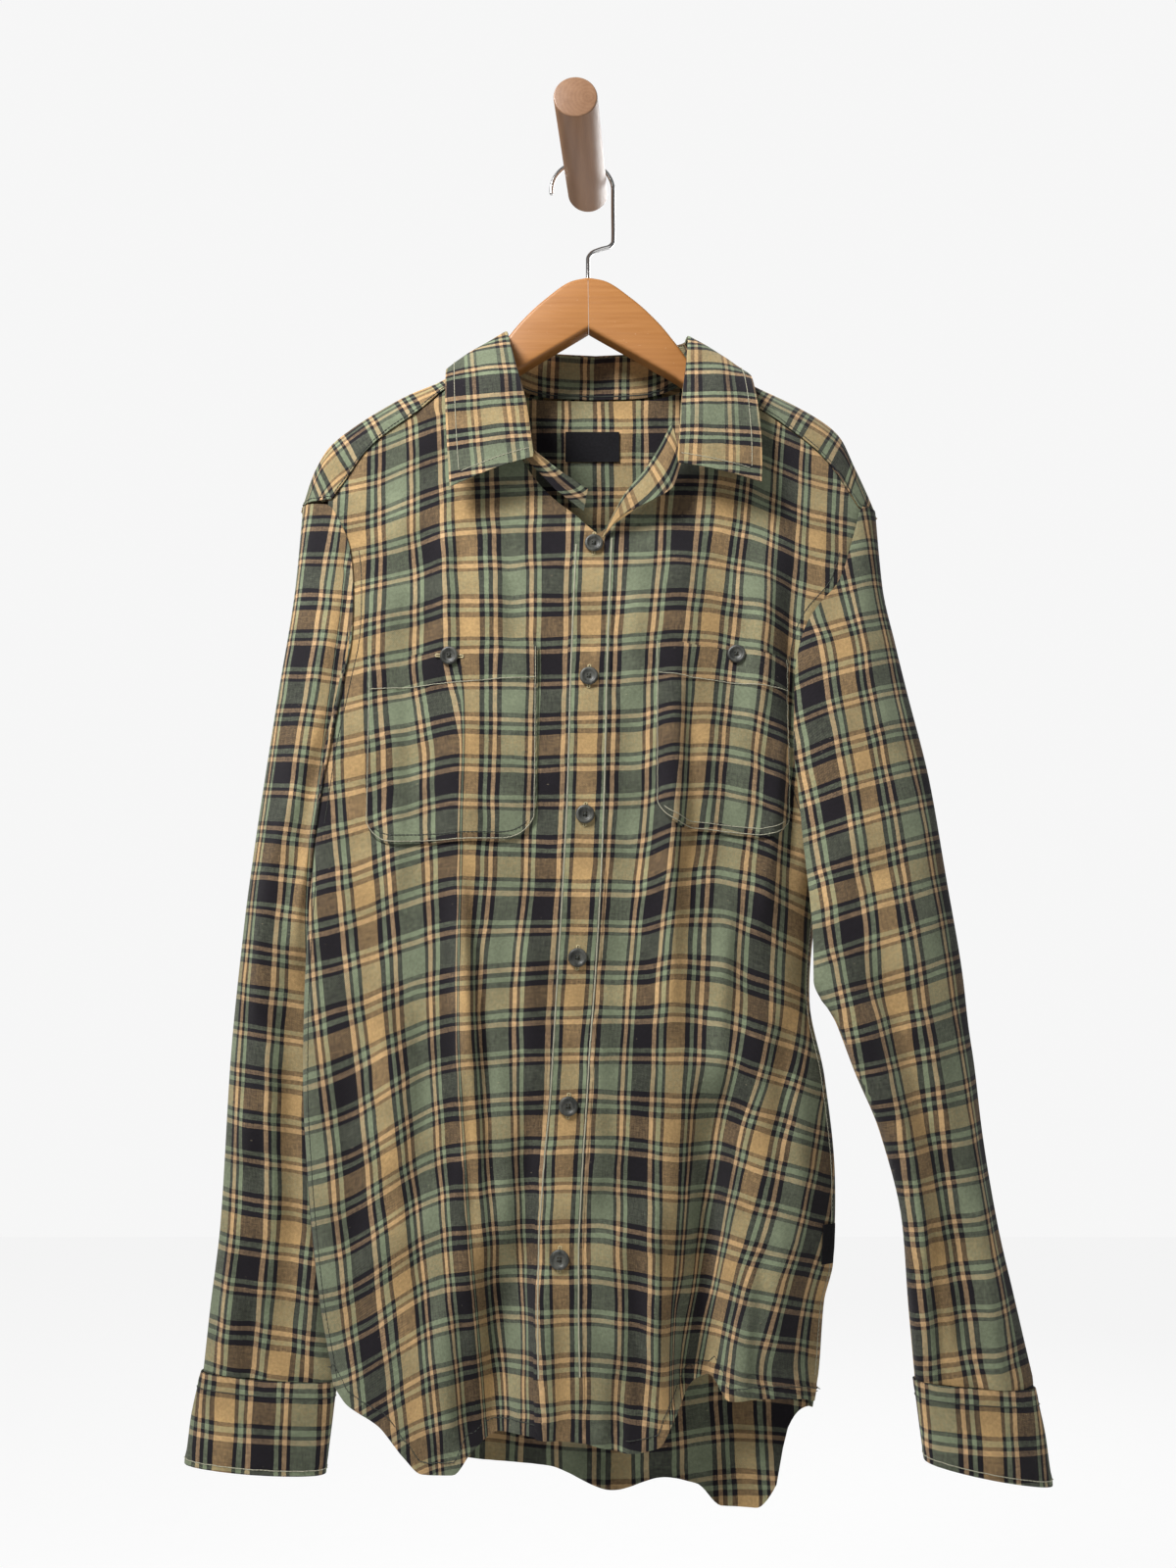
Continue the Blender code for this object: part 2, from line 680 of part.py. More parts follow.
def cuff_seam(wearer, turns):
    """Height of the seam between sleeve and cuff at a turn."""
    inner, outer = SLEEVE_END[wearer]
    return (inner + outer) / 2 + (outer - inner) / 2 * np.cos(turns * 2 * math.pi)


def cuff_height(wearer, turns):
    inner, outer = CUFF_HEIGHT[wearer]
    return (inner + outer) / 2 + (outer - inner) / 2 * np.cos(turns * 2 * math.pi)


def sleeve_points(wearer, columns, rows):
    turns = np.linspace(0, 1, columns)[:, None]
    share = np.linspace(0, 1, rows)[None, :]
    share = share * (0.75 + 0.25 * share)
    loop = armhole_loop(wearer, turns[:, 0])[:, None, :]
    start_z = loop[..., 2]
    z = start_z + (cuff_seam(wearer, turns) - start_z) * share
    turns = turns + 0 * z
    leave = 1 - ease(share / SLEEVE_JOIN)
    shape = sleeve_section(wearer, turns, z)
    at_start = sleeve_section(wearer, turns, start_z + 0 * z)
    points = shape + (loop - at_start) * leave[..., None]
    points[-1] = points[0]
    return points


def make_sleeves(columns=19, rows=22):
    for wearer in ("right", "left"):
        add_cloth(f"{wearer}_sleeve", sleeve_points(wearer, columns, rows), (0, 1, 0), tube=True)


def make_cuffs(columns=22, rows=3):
    """Each cuff is a strip round the sleeve's end, with its ends lapped on the back."""
    for wearer in ("right", "left"):
        turns = CUFF_OPENS_AT + np.linspace(0, 1 + CUFF_LAP, columns)[:, None]
        drop = cuff_height(wearer, turns) * np.linspace(0, 1, rows)[None, :]
        lap = ease((turns - CUFF_OPENS_AT - 1 + 0.06) / 0.06) * (CLOTH + 0.8)
        z = cuff_seam(wearer, turns) - 0.6 - drop
        ring = sleeve_section(wearer, turns % 1.0 + 0 * drop, z, CUFF_ROWS("half", drop) + lap)
        sign = -1 if wearer == "right" else 1
        ring[..., 0] += sign * CUFF_ROWS("shift", drop)
        add_cloth(f"{wearer}_cuff", ring, (0, -1, 0))


# ---------------------------------------------------------------- collar
def collar_point(which, station, sign):
    """seam, roll or edge of the collar at a station of one half, as points."""
    spread = LEFT_SPREAD * ease((station - 4) / 4) if sign > 0 else 0
    x = NECK_MIDDLE + sign * (COLLAR(f"{which}_out", station) + spread)
    lower = LEFT_DROP * np.exp(-(((station - 4.3) / 1.3) ** 2)) if sign > 0 else 0
    return np.stack([x, COLLAR(f"{which}_y", station), COLLAR(f"{which}_z", station) - lower], axis=-1)


def collar_rows(stations_per_half):
    """Signs and stations from the wearer's right end round the back to the left end."""
    half = np.linspace(8, 0, stations_per_half)
    stations = np.concatenate([half, half[-2::-1]])
    signs = np.concatenate([-np.ones(stations_per_half), np.ones(stations_per_half - 1)])
    return signs, stations


def make_stand(stations_per_half=11, rows=3):
    signs, stations = collar_rows(stations_per_half)
    seam = np.array([collar_point("seam", k, sign) for sign, k in zip(signs, stations)])
    roll = np.array([collar_point("roll", k, sign) for sign, k in zip(signs, stations)])
    ends = np.array(RIGHT_STAND_END[::-1], float)
    ends[:, [0, 3]] = NECK_MIDDLE - ends[:, [0, 3]]
    seam = np.concatenate([ends[:, :3], seam])
    roll = np.concatenate([ends[:, 3:], roll])
    share = np.linspace(0, 1, rows)[None, :, None]
    points = seam[:, None] + (roll - seam)[:, None] * share
    add_cloth("collar_stand", points, (0, 1, 0.2))


def make_fall(stations_per_half=11, rows=6):
    signs, stations = collar_rows(stations_per_half)
    seam = np.array([collar_point("seam", k, sign) for sign, k in zip(signs, stations)])
    roll = np.array([collar_point("roll", k, sign) for sign, k in zip(signs, stations)])
    edge = np.array([collar_point("edge", k, sign) for sign, k in zip(signs, stations)])
    rise = roll - seam
    rise /= np.linalg.norm(rise, axis=1, keepdims=True)
    run = np.gradient(roll, axis=0)
    out = np.cross(rise, run)
    out /= np.linalg.norm(out, axis=1, keepdims=True)
    start = roll + rise * 1.8 + out * 1.2
    share = np.linspace(0, 1, rows)[None, :, None]
    over = np.sin(share * math.pi) ** 0.7 * COLLAR("arch", stations)[:, None, None]
    points = start[:, None] + (edge - start)[:, None] * share + (out * 0.6 + rise * 0.8)[:, None] * over
    add_cloth("collar", points, (0, 1, 0.3))


def make_turned_out(stations=7, rows=3):
    """The placket's top with the end of the stand, folded outwards above the first button."""
    station = np.linspace(0, 4, stations)[:, None]
    share = np.linspace(0, 1, rows)[None, :]
    points = np.stack(
        [
            TURNED_OUT(f"fold_{axis}", station) * (1 - share) + TURNED_OUT(f"free_{axis}", station) * share
            for axis in "xyz"
        ],
        axis=-1,
    )
    points[..., 1] -= 1.5 * np.sin(share * math.pi) * ease(station / 2)
    add_cloth("placket_top_turned_out", points, (0, -1, 0))


# ---------------------------------------------------------------- pockets, sleeve plackets, labels and buttons
def pocket_points(wearer, columns, rows, lift):
    pocket = POCKETS[wearer]
    across = np.linspace(0, 1, columns)[:, None]
    x = pocket["inner"] + (pocket["outer"] - pocket["inner"]) * across
    top = pocket["top"][0] + (pocket["top"][1] - pocket["top"][0]) * across
    bottom = pocket["bottom"][0] + (pocket["bottom"][1] - pocket["bottom"][0]) * across
    from_side = np.minimum(np.abs(x - pocket["inner"]), np.abs(x - pocket["outer"]))
    into = np.clip(1 - from_side / POCKET_CORNER, 0, 1)
    bottom = bottom + POCKET_CORNER * (1 - np.sqrt(1 - into**2))
    z = bottom + (top - bottom) * np.linspace(0, 1, rows)[None, :]
    return body_points(x + 0 * z, z, -1, lift)


def make_pockets(columns=11, rows=8):
    for wearer in ("right", "left"):
        add_cloth(f"{wearer}_pocket", pocket_points(wearer, columns, rows, POCKET_LIFT), (0, -1, 0))


def make_sleeve_plackets(rows=9):
    """The strip over each sleeve's slit, on the back above the cuff."""
    for wearer in ("right", "left"):
        turns = CUFF_OPENS_AT + np.linspace(-0.04, 0.04, 3)[:, None]
        z = cuff_seam(wearer, turns) + 2 + np.linspace(0, 130, rows)[None, :]
        strip = sleeve_section(wearer, turns + 0 * z, z + 0 * turns, SLEEVE_PLACKET_LIFT[wearer])
        add_cloth(f"{wearer}_sleeve_placket", strip, (0, 1, 0))


def make_neck_label():
    x = np.linspace(*NECK_LABEL["sides"], 4)[:, None]
    z = np.linspace(*NECK_LABEL["ends"], 3)[None, :]
    points = body_points(x + 0 * z, z + 0 * x, 1, -(2 * CLOTH + 3 * SEAM + LABEL_WALL))
    add_cloth("neck_label", points, (0, -1, 0), LABEL_WALL, material_name="label")


def make_side_label():
    """A small label caught in the side seam on the wearer's left, above the hem."""
    height = np.linspace(*SIDE_LABEL["ends"], 4)[None, :]
    x = side_line(height, "left", "front") - SIDE_LABEL["in"] - SIDE_LABEL["width"] * np.linspace(0, 1, 3)[:, None]
    points = body_points(x, height + 0 * x, -1, CLOTH + 0.5)
    add_cloth("side_label", points, (0, -1, 0), LABEL_WALL, material_name="label")


def button_profile():
    """Radius and height of the button's outline, from the middle of its face to the middle of its back."""
    rim = BUTTON_RADIUS
    return ((0.0, 1.5), (rim * 0.62, 1.5), (rim * 0.74, BUTTON_HEIGHT), (rim * 0.93, 2.3), (rim, 1.2), (rim * 0.8, 0.0), (0.0, 0.0))


def add_button(name, place, out):
    outline = bmesh.new()
    points = [outline.verts.new((radius, 0, height)) for radius, height in button_profile()]
    for first, second in zip(points, points[1:]):
        outline.edges.new((first, second))
    button = add_shape(name, outline, "button", smooth_shaded=False)
    turn = button.modifiers.new("turned", "SCREW")
    turn.axis = "Z"
    turn.steps = turn.render_steps = 14
    turn.use_merge_vertices = True
    turn.merge_threshold = 0.00001
    turn.use_smooth_shade = False
    button.location = Vector(place) * MM
    button.rotation_mode = "QUATERNION"
    button.rotation_quaternion = Vector(out).to_track_quat("Z", "Y")


def on_front(x, z, lift):
    """A place on the front, moved out, and the direction out of it."""
    near, far = body_points(x, z, -1, lift), body_points(x, z, -1, lift + 1)
    return near, far - near


def make_buttons():
    for number in range(6):
        height = FIRST_BUTTON - BUTTON_STEP * number
        name = f"front_button_{number + 1}"
        add_button(name, *on_front(float(button_line(height)), height, PLACKET_LIFT + SEAM))
    for wearer, (x, height, gap) in POCKET_BUTTONS.items():
        add_button(f"{wearer}_pocket_button", *on_front(x, height, POCKET_LIFT + gap))
    for wearer in ("right", "left"):
        turn = np.array(CUFF_OPENS_AT + 0.04)
        height = cuff_seam(wearer, turn) - 30.0
        near = sleeve_section(wearer, turn, height, CUFF_ROWS("half", 30.0) + CLOTH + 0.8)
        near[0] += (-1 if wearer == "right" else 1) * CUFF_ROWS("shift", 30.0)
        add_button(f"{wearer}_cuff_button", near + np.array([0, CUFF_BUTTON_GAP[wearer], 0]), (0, 1, 0))


# ---------------------------------------------------------------- peg, hook and hanger
def make_peg():
    peg = bmesh.new()
    bmesh.ops.create_cone(
        peg, cap_ends=True, segments=32, radius1=PEG_RADIUS, radius2=PEG_RADIUS, depth=PEG_LENGTH
    )
    for vertex in peg.verts:
        out = vertex.co.z + PEG_LENGTH / 2
        lean = PEG_LEAN * out / PEG_LENGTH
        vertex.co = (vertex.co.x + lean, -out, vertex.co.y)
    add_shape("wall_peg", peg, "peg wood")


def make_hook():
    """A bow over the peg and a shank that leans forward, down into the hanger."""
    middle_x = -4.7
    room = HOOK_BOW - HOOK_WIRE - PEG_RADIUS - 2 * SEAM
    peg_x = PEG_LEAN * -HOOK_DEPTH / PEG_LENGTH
    middle_z = -math.sqrt(room**2 - (middle_x - peg_x) ** 2)
    bow = [
        (middle_x + HOOK_BOW * math.cos(angle), HOOK_DEPTH, middle_z + HOOK_BOW * math.sin(angle))
        for angle in np.linspace(math.radians(190), 0, 27)
    ]
    route = bow + list(HOOK_SHANK)
    curve = bpy.data.curves.new("hanger_hook", "CURVE")
    curve.dimensions = "3D"
    curve.bevel_depth = HOOK_WIRE * MM
    curve.bevel_resolution = 2
    curve.use_fill_caps = True
    line = curve.splines.new("POLY")
    line.points.add(len(route) - 1)
    for point, place in zip(line.points, route):
        point.co = (*(Vector(place) * MM), 1)
    add_object("hanger_hook", curve, "steel")


def make_hanger():
    """Two arms of one thickness that meet at a mitre in the middle."""
    out = HANGER_ARM.rows[:, 0]
    for name, sign in (("hanger_right_arm", -1), ("hanger_left_arm", 1)):
        mitre = 0.15
        top = [(sign * max(x, mitre), z) for x, z in zip(out, HANGER_ARM("top", out))]
        under = [(sign * max(x, mitre), z) for x, z in zip(out, HANGER_ARM("under", out))]
        tip = [(sign * 192.0, -258.0), (sign * 192.0, -264.0)]
        outline = top + tip + under[::-1]
        arm = bmesh.new()
        corners = [arm.verts.new((x, HANGER_DEPTH - HANGER_THICKNESS / 2, z)) for x, z in outline]
        face = arm.faces.new(corners)
        grown = bmesh.ops.extrude_face_region(arm, geom=[face])
        moved = [part for part in grown["geom"] if isinstance(part, bmesh.types.BMVert)]
        bmesh.ops.translate(arm, verts=moved, vec=(0, HANGER_THICKNESS, 0))
        bmesh.ops.recalc_face_normals(arm, faces=arm.faces)
        rims = [
            edge for edge in arm.edges
            if abs(edge.verts[0].co.y - edge.verts[1].co.y) < 1 and max(abs(v.co.x) for v in edge.verts) > 1
        ]
        bmesh.ops.bevel(arm, geom=rims, offset=HANGER_BEVEL, segments=2, profile=0.5, affect="EDGES", material=-1)
        turn = Matrix.Rotation(math.radians(-HANGER_TILT), 3, "Y")
        bmesh.ops.rotate(arm, cent=(0, 0, -101), matrix=turn, verts=arm.verts)
        add_shape(name, arm, "pale wood")


make_peg()
make_hook()
make_hanger()
make_fronts()
make_placket()
make_back()
make_yoke()
make_sleeves()
make_cuffs()
make_stand()
make_fall()
make_turned_out()
make_pockets()
make_sleeve_plackets()
make_neck_label()
make_side_label()
make_buttons()
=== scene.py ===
# %% [markdown]
# ## A long-sleeved plaid shirt on a wooden hanger, hung from a wall peg
# The real thing is a men's shirt in brushed twill, sewn from seventeen cut pieces and closed with ten buttons.
# Its weight hangs from the two arms of a hanger, so every fold starts at the shoulders or at a seam and runs down.
# The lesson builds each piece as a thin shell over one shared form, then weaves, sews and lights it.
# Lengths are in millimetres until a mesh is filled in. +Z is up, the shirt faces -Y, and left and right in the
# names are the wearer's, so the wearer's right is at -X.

import math

import bmesh
import bpy
import numpy as np
from mathutils import Matrix, Vector


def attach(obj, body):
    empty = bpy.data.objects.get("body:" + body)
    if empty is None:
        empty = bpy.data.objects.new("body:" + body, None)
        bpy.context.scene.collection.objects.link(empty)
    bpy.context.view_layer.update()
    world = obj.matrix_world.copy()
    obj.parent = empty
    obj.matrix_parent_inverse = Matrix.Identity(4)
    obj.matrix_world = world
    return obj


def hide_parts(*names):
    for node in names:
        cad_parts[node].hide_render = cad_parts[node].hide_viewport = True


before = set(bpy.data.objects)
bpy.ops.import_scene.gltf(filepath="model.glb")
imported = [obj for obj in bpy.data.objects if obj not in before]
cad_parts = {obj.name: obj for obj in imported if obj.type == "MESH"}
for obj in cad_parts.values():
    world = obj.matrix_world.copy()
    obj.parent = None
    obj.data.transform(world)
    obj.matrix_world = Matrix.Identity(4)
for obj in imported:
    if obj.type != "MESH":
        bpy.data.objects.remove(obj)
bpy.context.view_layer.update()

# %% [markdown]
# ### Sizes that drive everything
# A shirt is drafted from a few sizes: the neck, the placket, the spacing of the buttons and the repeat of the cloth.
# They are named here once, so that a change to one of them moves every piece that depends on it.

# %% Driving sizes
MM = 0.001
WAY = {"right": -1, "left": 1}  # where each of the wearer's sides lies along x
CLOTH = 1.0  # wall of one piece of cloth in the solid parts
WALL = 0.8  # wall of the shells built here
SEAM = 0.35  # gap between pieces that are sewn together
ARMHOLE_UNDER = 2.4  # how far the panels run on under the sleeve's edge
NECK_MIDDLE = 6.0  # x of the middle of the neck
NECK_SIDE = 87.0  # half the width of the neck seam
PLACKET_WIDTH = 31.5  # free edge to stitch line
BUTTON_RADIUS = 6.6
BUTTON_STEP = 99.3  # drop between the buttons of the placket
FIRST_BUTTON = -329.0  # height of the top one
PLACKET_TOP = -324.0  # height of the placket's upper end in its middle
PLACKET_SLOPE = 6.0  # how much higher that end is on one side than on the other
PEG_RADIUS = 16.2
PEG_LENGTH = 125.0
PEG_LEAN = -9.3  # sideways drift of the peg's outer end
PEG_BEVEL = 1.1  # its broken edges
HOOK_WIRE = 1.6  # radius of the wire
HOOK_BOW = 25.0  # radius of the bow, at the middle of the wire
HOOK_MIDDLE = -4.7  # x of the bow's middle
HOOK_TIP = 190.0  # degrees round the bow at which the wire ends
HOOK_DEPTH = -14.0  # y of the bow
HANGER_DEPTH = -44.0  # y of the middle of the wood
HANGER_THICKNESS = 14.0
HANGER_TOP = -101.0  # height of the mitre's upper end
HANGER_REACH = 188.0  # length of an arm up to its tip
HANGER_TIP = 4.0  # how far the tip rounds on past that
HANGER_MITRE = 0.12  # half the gap of the joint between the arms
HANGER_TILT = 0.7  # degrees by which the hanger hangs askew
LENS = 2.5  # roundness of the body's cross section: 2 is an ellipse, more is boxier
SHOULDER_ARCH = 26.0  # drop over which the cloth rounds off the hanger
UNDERARM = -546.0  # height at which the armhole ends
SHOULDER_TIP_Y = -47.0
YOKE_DROP = -305.0  # height of the yoke's seam on the back
SLEEVE_JOIN = 0.5  # share of the sleeve over which it leaves the armhole's form
EDGE = 1 - 2.5e-5  # share of the body's half width at which its sides are cut
REPEAT = 87.2  # one repeat of the plaid, both ways
STITCH = 2.8  # one stitch
THREAD = 0.30  # radius of the sewing thread
LAP = CLOTH + 0.9  # how far the front on top stands off the one under it
PLACKET_LIFT = LAP + CLOTH + SEAM
POCKET_LIFT = CLOTH + 1.4


# %% [markdown]
# ### Reading tables of sizes
# A tailor's pattern is a short list of measures at stated places, with a fair curve drawn through them. The Table
# class does the same: rows under named columns, and a cubic between them that never bulges past the rows.

# %% Curves through tables
def smooth(places, values, at):
    """A cubic through the values that never overshoots them, held level past both ends."""
    at = np.clip(np.asarray(at, float), places[0], places[-1])
    step = np.diff(places)
    slope = np.diff(values) / step
    tangent = np.zeros(len(places))
    same = slope[:-1] * slope[1:] > 0
    tangent[1:-1][same] = (2 * slope[:-1] * slope[1:])[same] / (slope[:-1] + slope[1:])[same]
    tangent[0] = slope[0]
    tangent[-1] = slope[-1]
    cell = np.clip(np.searchsorted(places, at) - 1, 0, len(places) - 2)
    part = (at - places[cell]) / step[cell]
    rest = 1 - part
    return (
        values[cell] * rest**2 * (1 + 2 * part)
        + values[cell + 1] * part**2 * (3 - 2 * part)
        + tangent[cell] * step[cell] * part * rest**2
        - tangent[cell + 1] * step[cell] * part**2 * rest
    )


def ease(share):
    """0 to 1 with level ends."""
    share = np.clip(share, 0, 1)
    return share * share * (3 - 2 * share)


def between(first, second, share):
    """A size at a share of the way from one to the other."""
    return first + (second - first) * share


class Table:
    """Rows of sizes under named columns, read anywhere along the first column."""

    def __init__(self, columns, *rows):
        self.columns = columns.split()
        self.rows = np.array(sorted(rows), float)

    def __call__(self, column, at):
        return smooth(self.rows[:, 0], self.rows[:, self.columns.index(column)], at)


def unevenness(x, z, wide, high, seed):
    """Soft hills and hollows between -1 and 1 on a net of the given spacing, for cloth that is never quite smooth."""
    net = np.random.RandomState(seed).uniform(-1, 1, (64, 64))
    across, up = (x + 400) / wide, (z + 1100) / high
    column, row = np.floor(across).astype(int), np.floor(up).astype(int)
    s, t = ease(across - column), ease(up - row)

    def corner(right, above):
        return net[(column + right) % len(net), (row + above) % len(net)]

    low = corner(0, 0) * (1 - s) + corner(1, 0) * s
    high_side = corner(0, 1) * (1 - s) + corner(1, 1) * s
    return low * (1 - t) + high_side * t


# %% Walking along paths of points
def unit(vectors):
    """The same directions, each 1 long."""
    return vectors / np.linalg.norm(vectors, axis=-1, keepdims=True)


def walk(path):
    """Length walked along a path up to each of its points."""
    return np.concatenate([[0], np.cumsum(np.linalg.norm(np.diff(path, axis=0), axis=1))])


def path_at(path, walked, places):
    """Points of a path at the given lengths along it."""
    return np.stack([np.interp(places, walked, path[:, k]) for k in range(3)], axis=-1)


# %% [markdown]
# ### The form that the cloth hangs in
# A shirt on a hanger is two flat panels that touch along their sides and round over the wood. The shoulder line and
# a few cross sections give that form; the armhole, the top edges, the hems and the largest folds are short tables
# measured off it. A sculptor would rough out the same form before cutting any crease.

# %% Tables of the body
# Shoulder line over the hanger: x, and the height of the cloth's top there.
RIDGE = Table(
    "x height",
    (-214, -291), (-210, -275), (-204, -258), (-194, -241), (-176, -226), (-157, -213.5), (-134, -200.5),
    (-112, -191), (-95, -179.5), (-80, -165.5), (-64, -148), (0, -100), (68, -148), (84, -165.5), (100, -179),
    (124, -193.5), (155, -209), (178, -223), (189, -233.5), (199, -256), (207, -274), (216, -296),
)

# The body's cross sections: side limits, the depth of the front and the back, and of the two side edges.
SECTIONS = Table(
    "height right left front back right_edge left_edge",
    (-150, -216, 218, -76, -20, -46, -46), (-300, -216, 218, -82, -19, -48, -48),
    (-353, -210, 210, -84, -18, -51, -48), (-430, -203, 203, -86, -18, -57, -48),
    (-480, -199, 196, -87, -18, -61, -47), (-546, -195, 176, -88, -18, -66, -45),
    (-600, -197, 163, -88, -18, -68, -44), (-655, -198, 158, -88, -18, -68, -45),
    (-709, -197, 167, -88, -18, -68, -47), (-775, -192, 172, -88, -18, -67, -49),
    (-833, -185, 169, -87, -19, -66, -50), (-859, -181, 162, -87, -20, -65, -50),
    (-905, -172, 157, -86, -21, -62, -50), (-940, -167, 150, -86, -22, -58, -48),
    (-1000, -158, 141, -86, -24, -54, -46),
)

# Where the armhole seam crosses each height, on the front and the back.
ARMHOLE = Table(
    "height right_front left_front right_back left_back",
    (-294, -190, 202, -200, 208), (-308, -182, 198, -194, 204), (-328, -174.5, 192, -190, 198),
    (-351, -171.5, 184, -187, 192), (-378, -170.5, 163, -186, 188), (-395, -171, 156, -186, 187),
    (-430, -177, 150, -187, 185), (-480, -186.5, 149, -190, 184), (-525, -192, 158, -192.5, 181),
    (UNDERARM, -195, 176, -195, 176),
)

# Top edge of the fronts, by distance out from the neck's middle: neck curve, then the seam to the yoke.
FRONT_TOP = Table(
    "out right left",
    (-14, -326, -327), (0, -319, -321), (16, -305, -311), (32, -292, -298), (48, -273, -285), (60, -250, -266),
    (70, -224, -228), (80, -196, -199), (87, -184, -186), (94, -189, -192), (115, -208, -216), (136, -226, -231),
    (156, -240, -246), (172, -255, -261), (184, -273, -278), (195, -289, -295),
)

# Neck seam at the back, by distance out from the neck's middle.
BACK_NECK = Table("out height", (0, -191), (40, -190), (60, -186), (74, -179), (NECK_SIDE, -169))

# Distances out from the neck's middle at which the yoke is drawn, at its neck or front edge and at its back edge.
# They fan out from the side of the neck, where the neck edge turns over the shoulder line.
YOKE_FRONT_OUT = (
    0, 20, 40, 58, 70, 78, 82, 85, 85.6, 86.1, 86.7, 87.3, 89, 93, 100, 112, 128, 144, 160, 174, 184, 192, 200, 207
)
YOKE_BACK_OUT = (
    0, 20, 40, 57, 67, 73, 77, 80, 83, 86, 89, 92, 95, 99, 105, 115, 130, 145, 160, 174, 184, 192, 200, 207
)
NECK_TURN = (85.0, 87.3)  # distances out between which the neck edge passes over the shoulder line
YOKE_TIPS = {"right": 219.2, "left": 208.7}  # distance out of the tips of the shoulders
# Lower edge of the yoke on the back, by distance out from the neck's middle.
YOKE_BACK = Table(
    "out right left",
    (0, YOKE_DROP, YOKE_DROP),
    (196, YOKE_DROP, YOKE_DROP),
    (202, -299, -291), (206, -291, -291), (220, -288, -288),
)

# Hem edges across the width, and the middle line of the buttons down the front.
FRONT_HEM = Table(
    "x height",
    (-172, -907), (-160, -921), (-138, -933), (-121, -951), (-108, -961), (-88, -961), (-76, -948), (-60, -938),
    (-43, -937), (-6, -940), (25, -948), (46, -945), (56, -930), (70, -908), (82, -903), (93, -917), (109, -916),
    (141, -918), (157, -924),
)
BACK_HEM = Table(
    "x height",
    (-172, -908), (-150, -930), (-120, -955), (-83, -967), (-27, -973), (17, -989), (54, -980), (75, -984),
    (92, -998), (115, -998), (129, -982), (136, -948), (146, -932), (157, -926),
)
BUTTON_LINE = Table(
    "height x",
    (-290, 6), (-329, 4.2), (-429, 0.7), (-528, -2), (-629, -7.4), (-726, -13.2), (-825, -18.8), (-950, -17.5),
)

# The largest folds: x and height of the top end, x and height of the low end, how far the fold stands out
# (troughs are negative), and half its width.
FRONT_FOLDS = (
    (-128, -300, -126, -560, -6, 17), (-150, -330, -160, -520, 5, 18), (-92, -430, -74, -760, 6, 15),
    (-66, -700, -84, -940, 6, 16), (-60, -800, -62, -985, -20, 15), (-105, -840, -98, -985, 6, 20),
    (66, -300, 52, -720, 6, 17), (104, -290, 96, -620, -4, 16), (118, -620, 130, -900, 8, 22),
    (88, -690, 68, -960, -20, 16), (20, -780, 22, -970, 4, 20), (-30, -330, -40, -640, -3, 15),
)
BACK_FOLDS = (
    (-120, -330, -110, -760, -5, 18), (-50, -300, -62, -980, 5, 20), (60, -300, 40, -990, -5, 20),
    (100, -560, 96, -1020, 7, 20), (-128, -720, -120, -960, 5, 18), (10, -700, 14, -1000, 5, 22),
)
FOLD_FADE = 60.0  # length over which a fold dies out at its ends

# %% [markdown]
# ### Sleeves and cuffs
# A sleeve is a tube that leaves the armhole's form within its first half and hangs nearly flat. Its sections list
# where the inner and the outer side hang; a cuff is a strip round its end, buttoned over on the back.

# %% Tables of the sleeves
# Cross sections of each sleeve: the inner and the outer side, their depths, and half the tube's thickness.
SLEEVES = {
    "right": Table(
        "height inner outer inner_y outer_y half",
        (-285, -178, -215, -50, -48, 20), (-350, -178, -219, -52, -46, 25), (-430, -186, -229.5, -48, -42, 24),
        (-520, -195.5, -241, -44, -37, 21), (-560, -199, -245.5, -41, -35, 20.5),
        (-600, -200.5, -249.5, -38, -33, 20), (-700, -190, -257, -29, -28, 19), (-810, -181, -260, -26, -26, 17),
        (-870, -178, -265, -26, -26, 16), (-915, -176, -268, -27, -27, 15),
    ),
    "left": Table(
        "height inner outer inner_y outer_y half",
        (-285, 178, 216, -52, -48, 20), (-350, 166, 219.5, -76, -48, 25), (-400, 151, 228, -92, -50, 25),
        (-430, 146, 233, -97, -54, 23), (-500, 145, 246, -100, -60, 21), (-573, 145, 255, -102, -62, 20),
        (-642, 145, 263, -104, -64, 20), (-672, 163, 265, -104, -64, 20), (-701, 177, 268, -102, -64, 20),
        (-743, 195, 271, -98, -64, 21), (-804, 209, 278.5, -93, -64, 21), (-854, 212, 288, -88, -64, 20),
        (-905, 216, 298, -82, -64, 18),
    ),
}
# Height of the seam to the cuff on the inner and the outer side.
SLEEVE_END = {"right": (-916.0, -909.0), "left": (-902.0, -911.0)}
# x and height of the outermost point of each shoulder, where the sleeve's cap starts.
SHOULDER_TIPS = {"right": (-215.2, -290.0), "left": (216.8, -295.0)}
# Folds run down a sleeve at a share of the turn round it, where 0 is the outer side, 0.25 the front and 0.5 the
# inner side: turn, top height, low height, how far the fold stands out, and half its width as a share of the turn.
SLEEVE_FOLDS = {
    "right": (
        (0.17, -420, -800, 4, 0.05), (0.30, -620, -930, -6, 0.06), (0.80, -450, -930, -6, 0.07),
    ),
    "left": (
        (0.30, -360, -640, 5, 0.06), (0.27, -600, -930, -9, 0.05), (0.13, -480, -900, 4, 0.05),
        (0.75, -450, -930, -8, 0.07),
    ),
}
# Cuff rings from the seam down: drop below the seam, shift outwards, and extra half thickness.
CUFF_ROWS = Table("drop shift half", (0, 0, 1.5), (30, 4, 2.0), (60, 7, 2.5))
CUFF_HEIGHT = {"right": (60.0, 60.0), "left": (50.0, 61.0)}  # on the inner and the outer side
SLEEVE_PLACKET_LIFT = {"right": 3.2, "left": 2.5}  # how far the slit's strip stands off the sleeve's form
CUFF_LAP = 0.14  # share of the turn by which the cuff's ends overlap
CUFF_OPENS_AT = 0.72  # share of the turn where they do, on the back

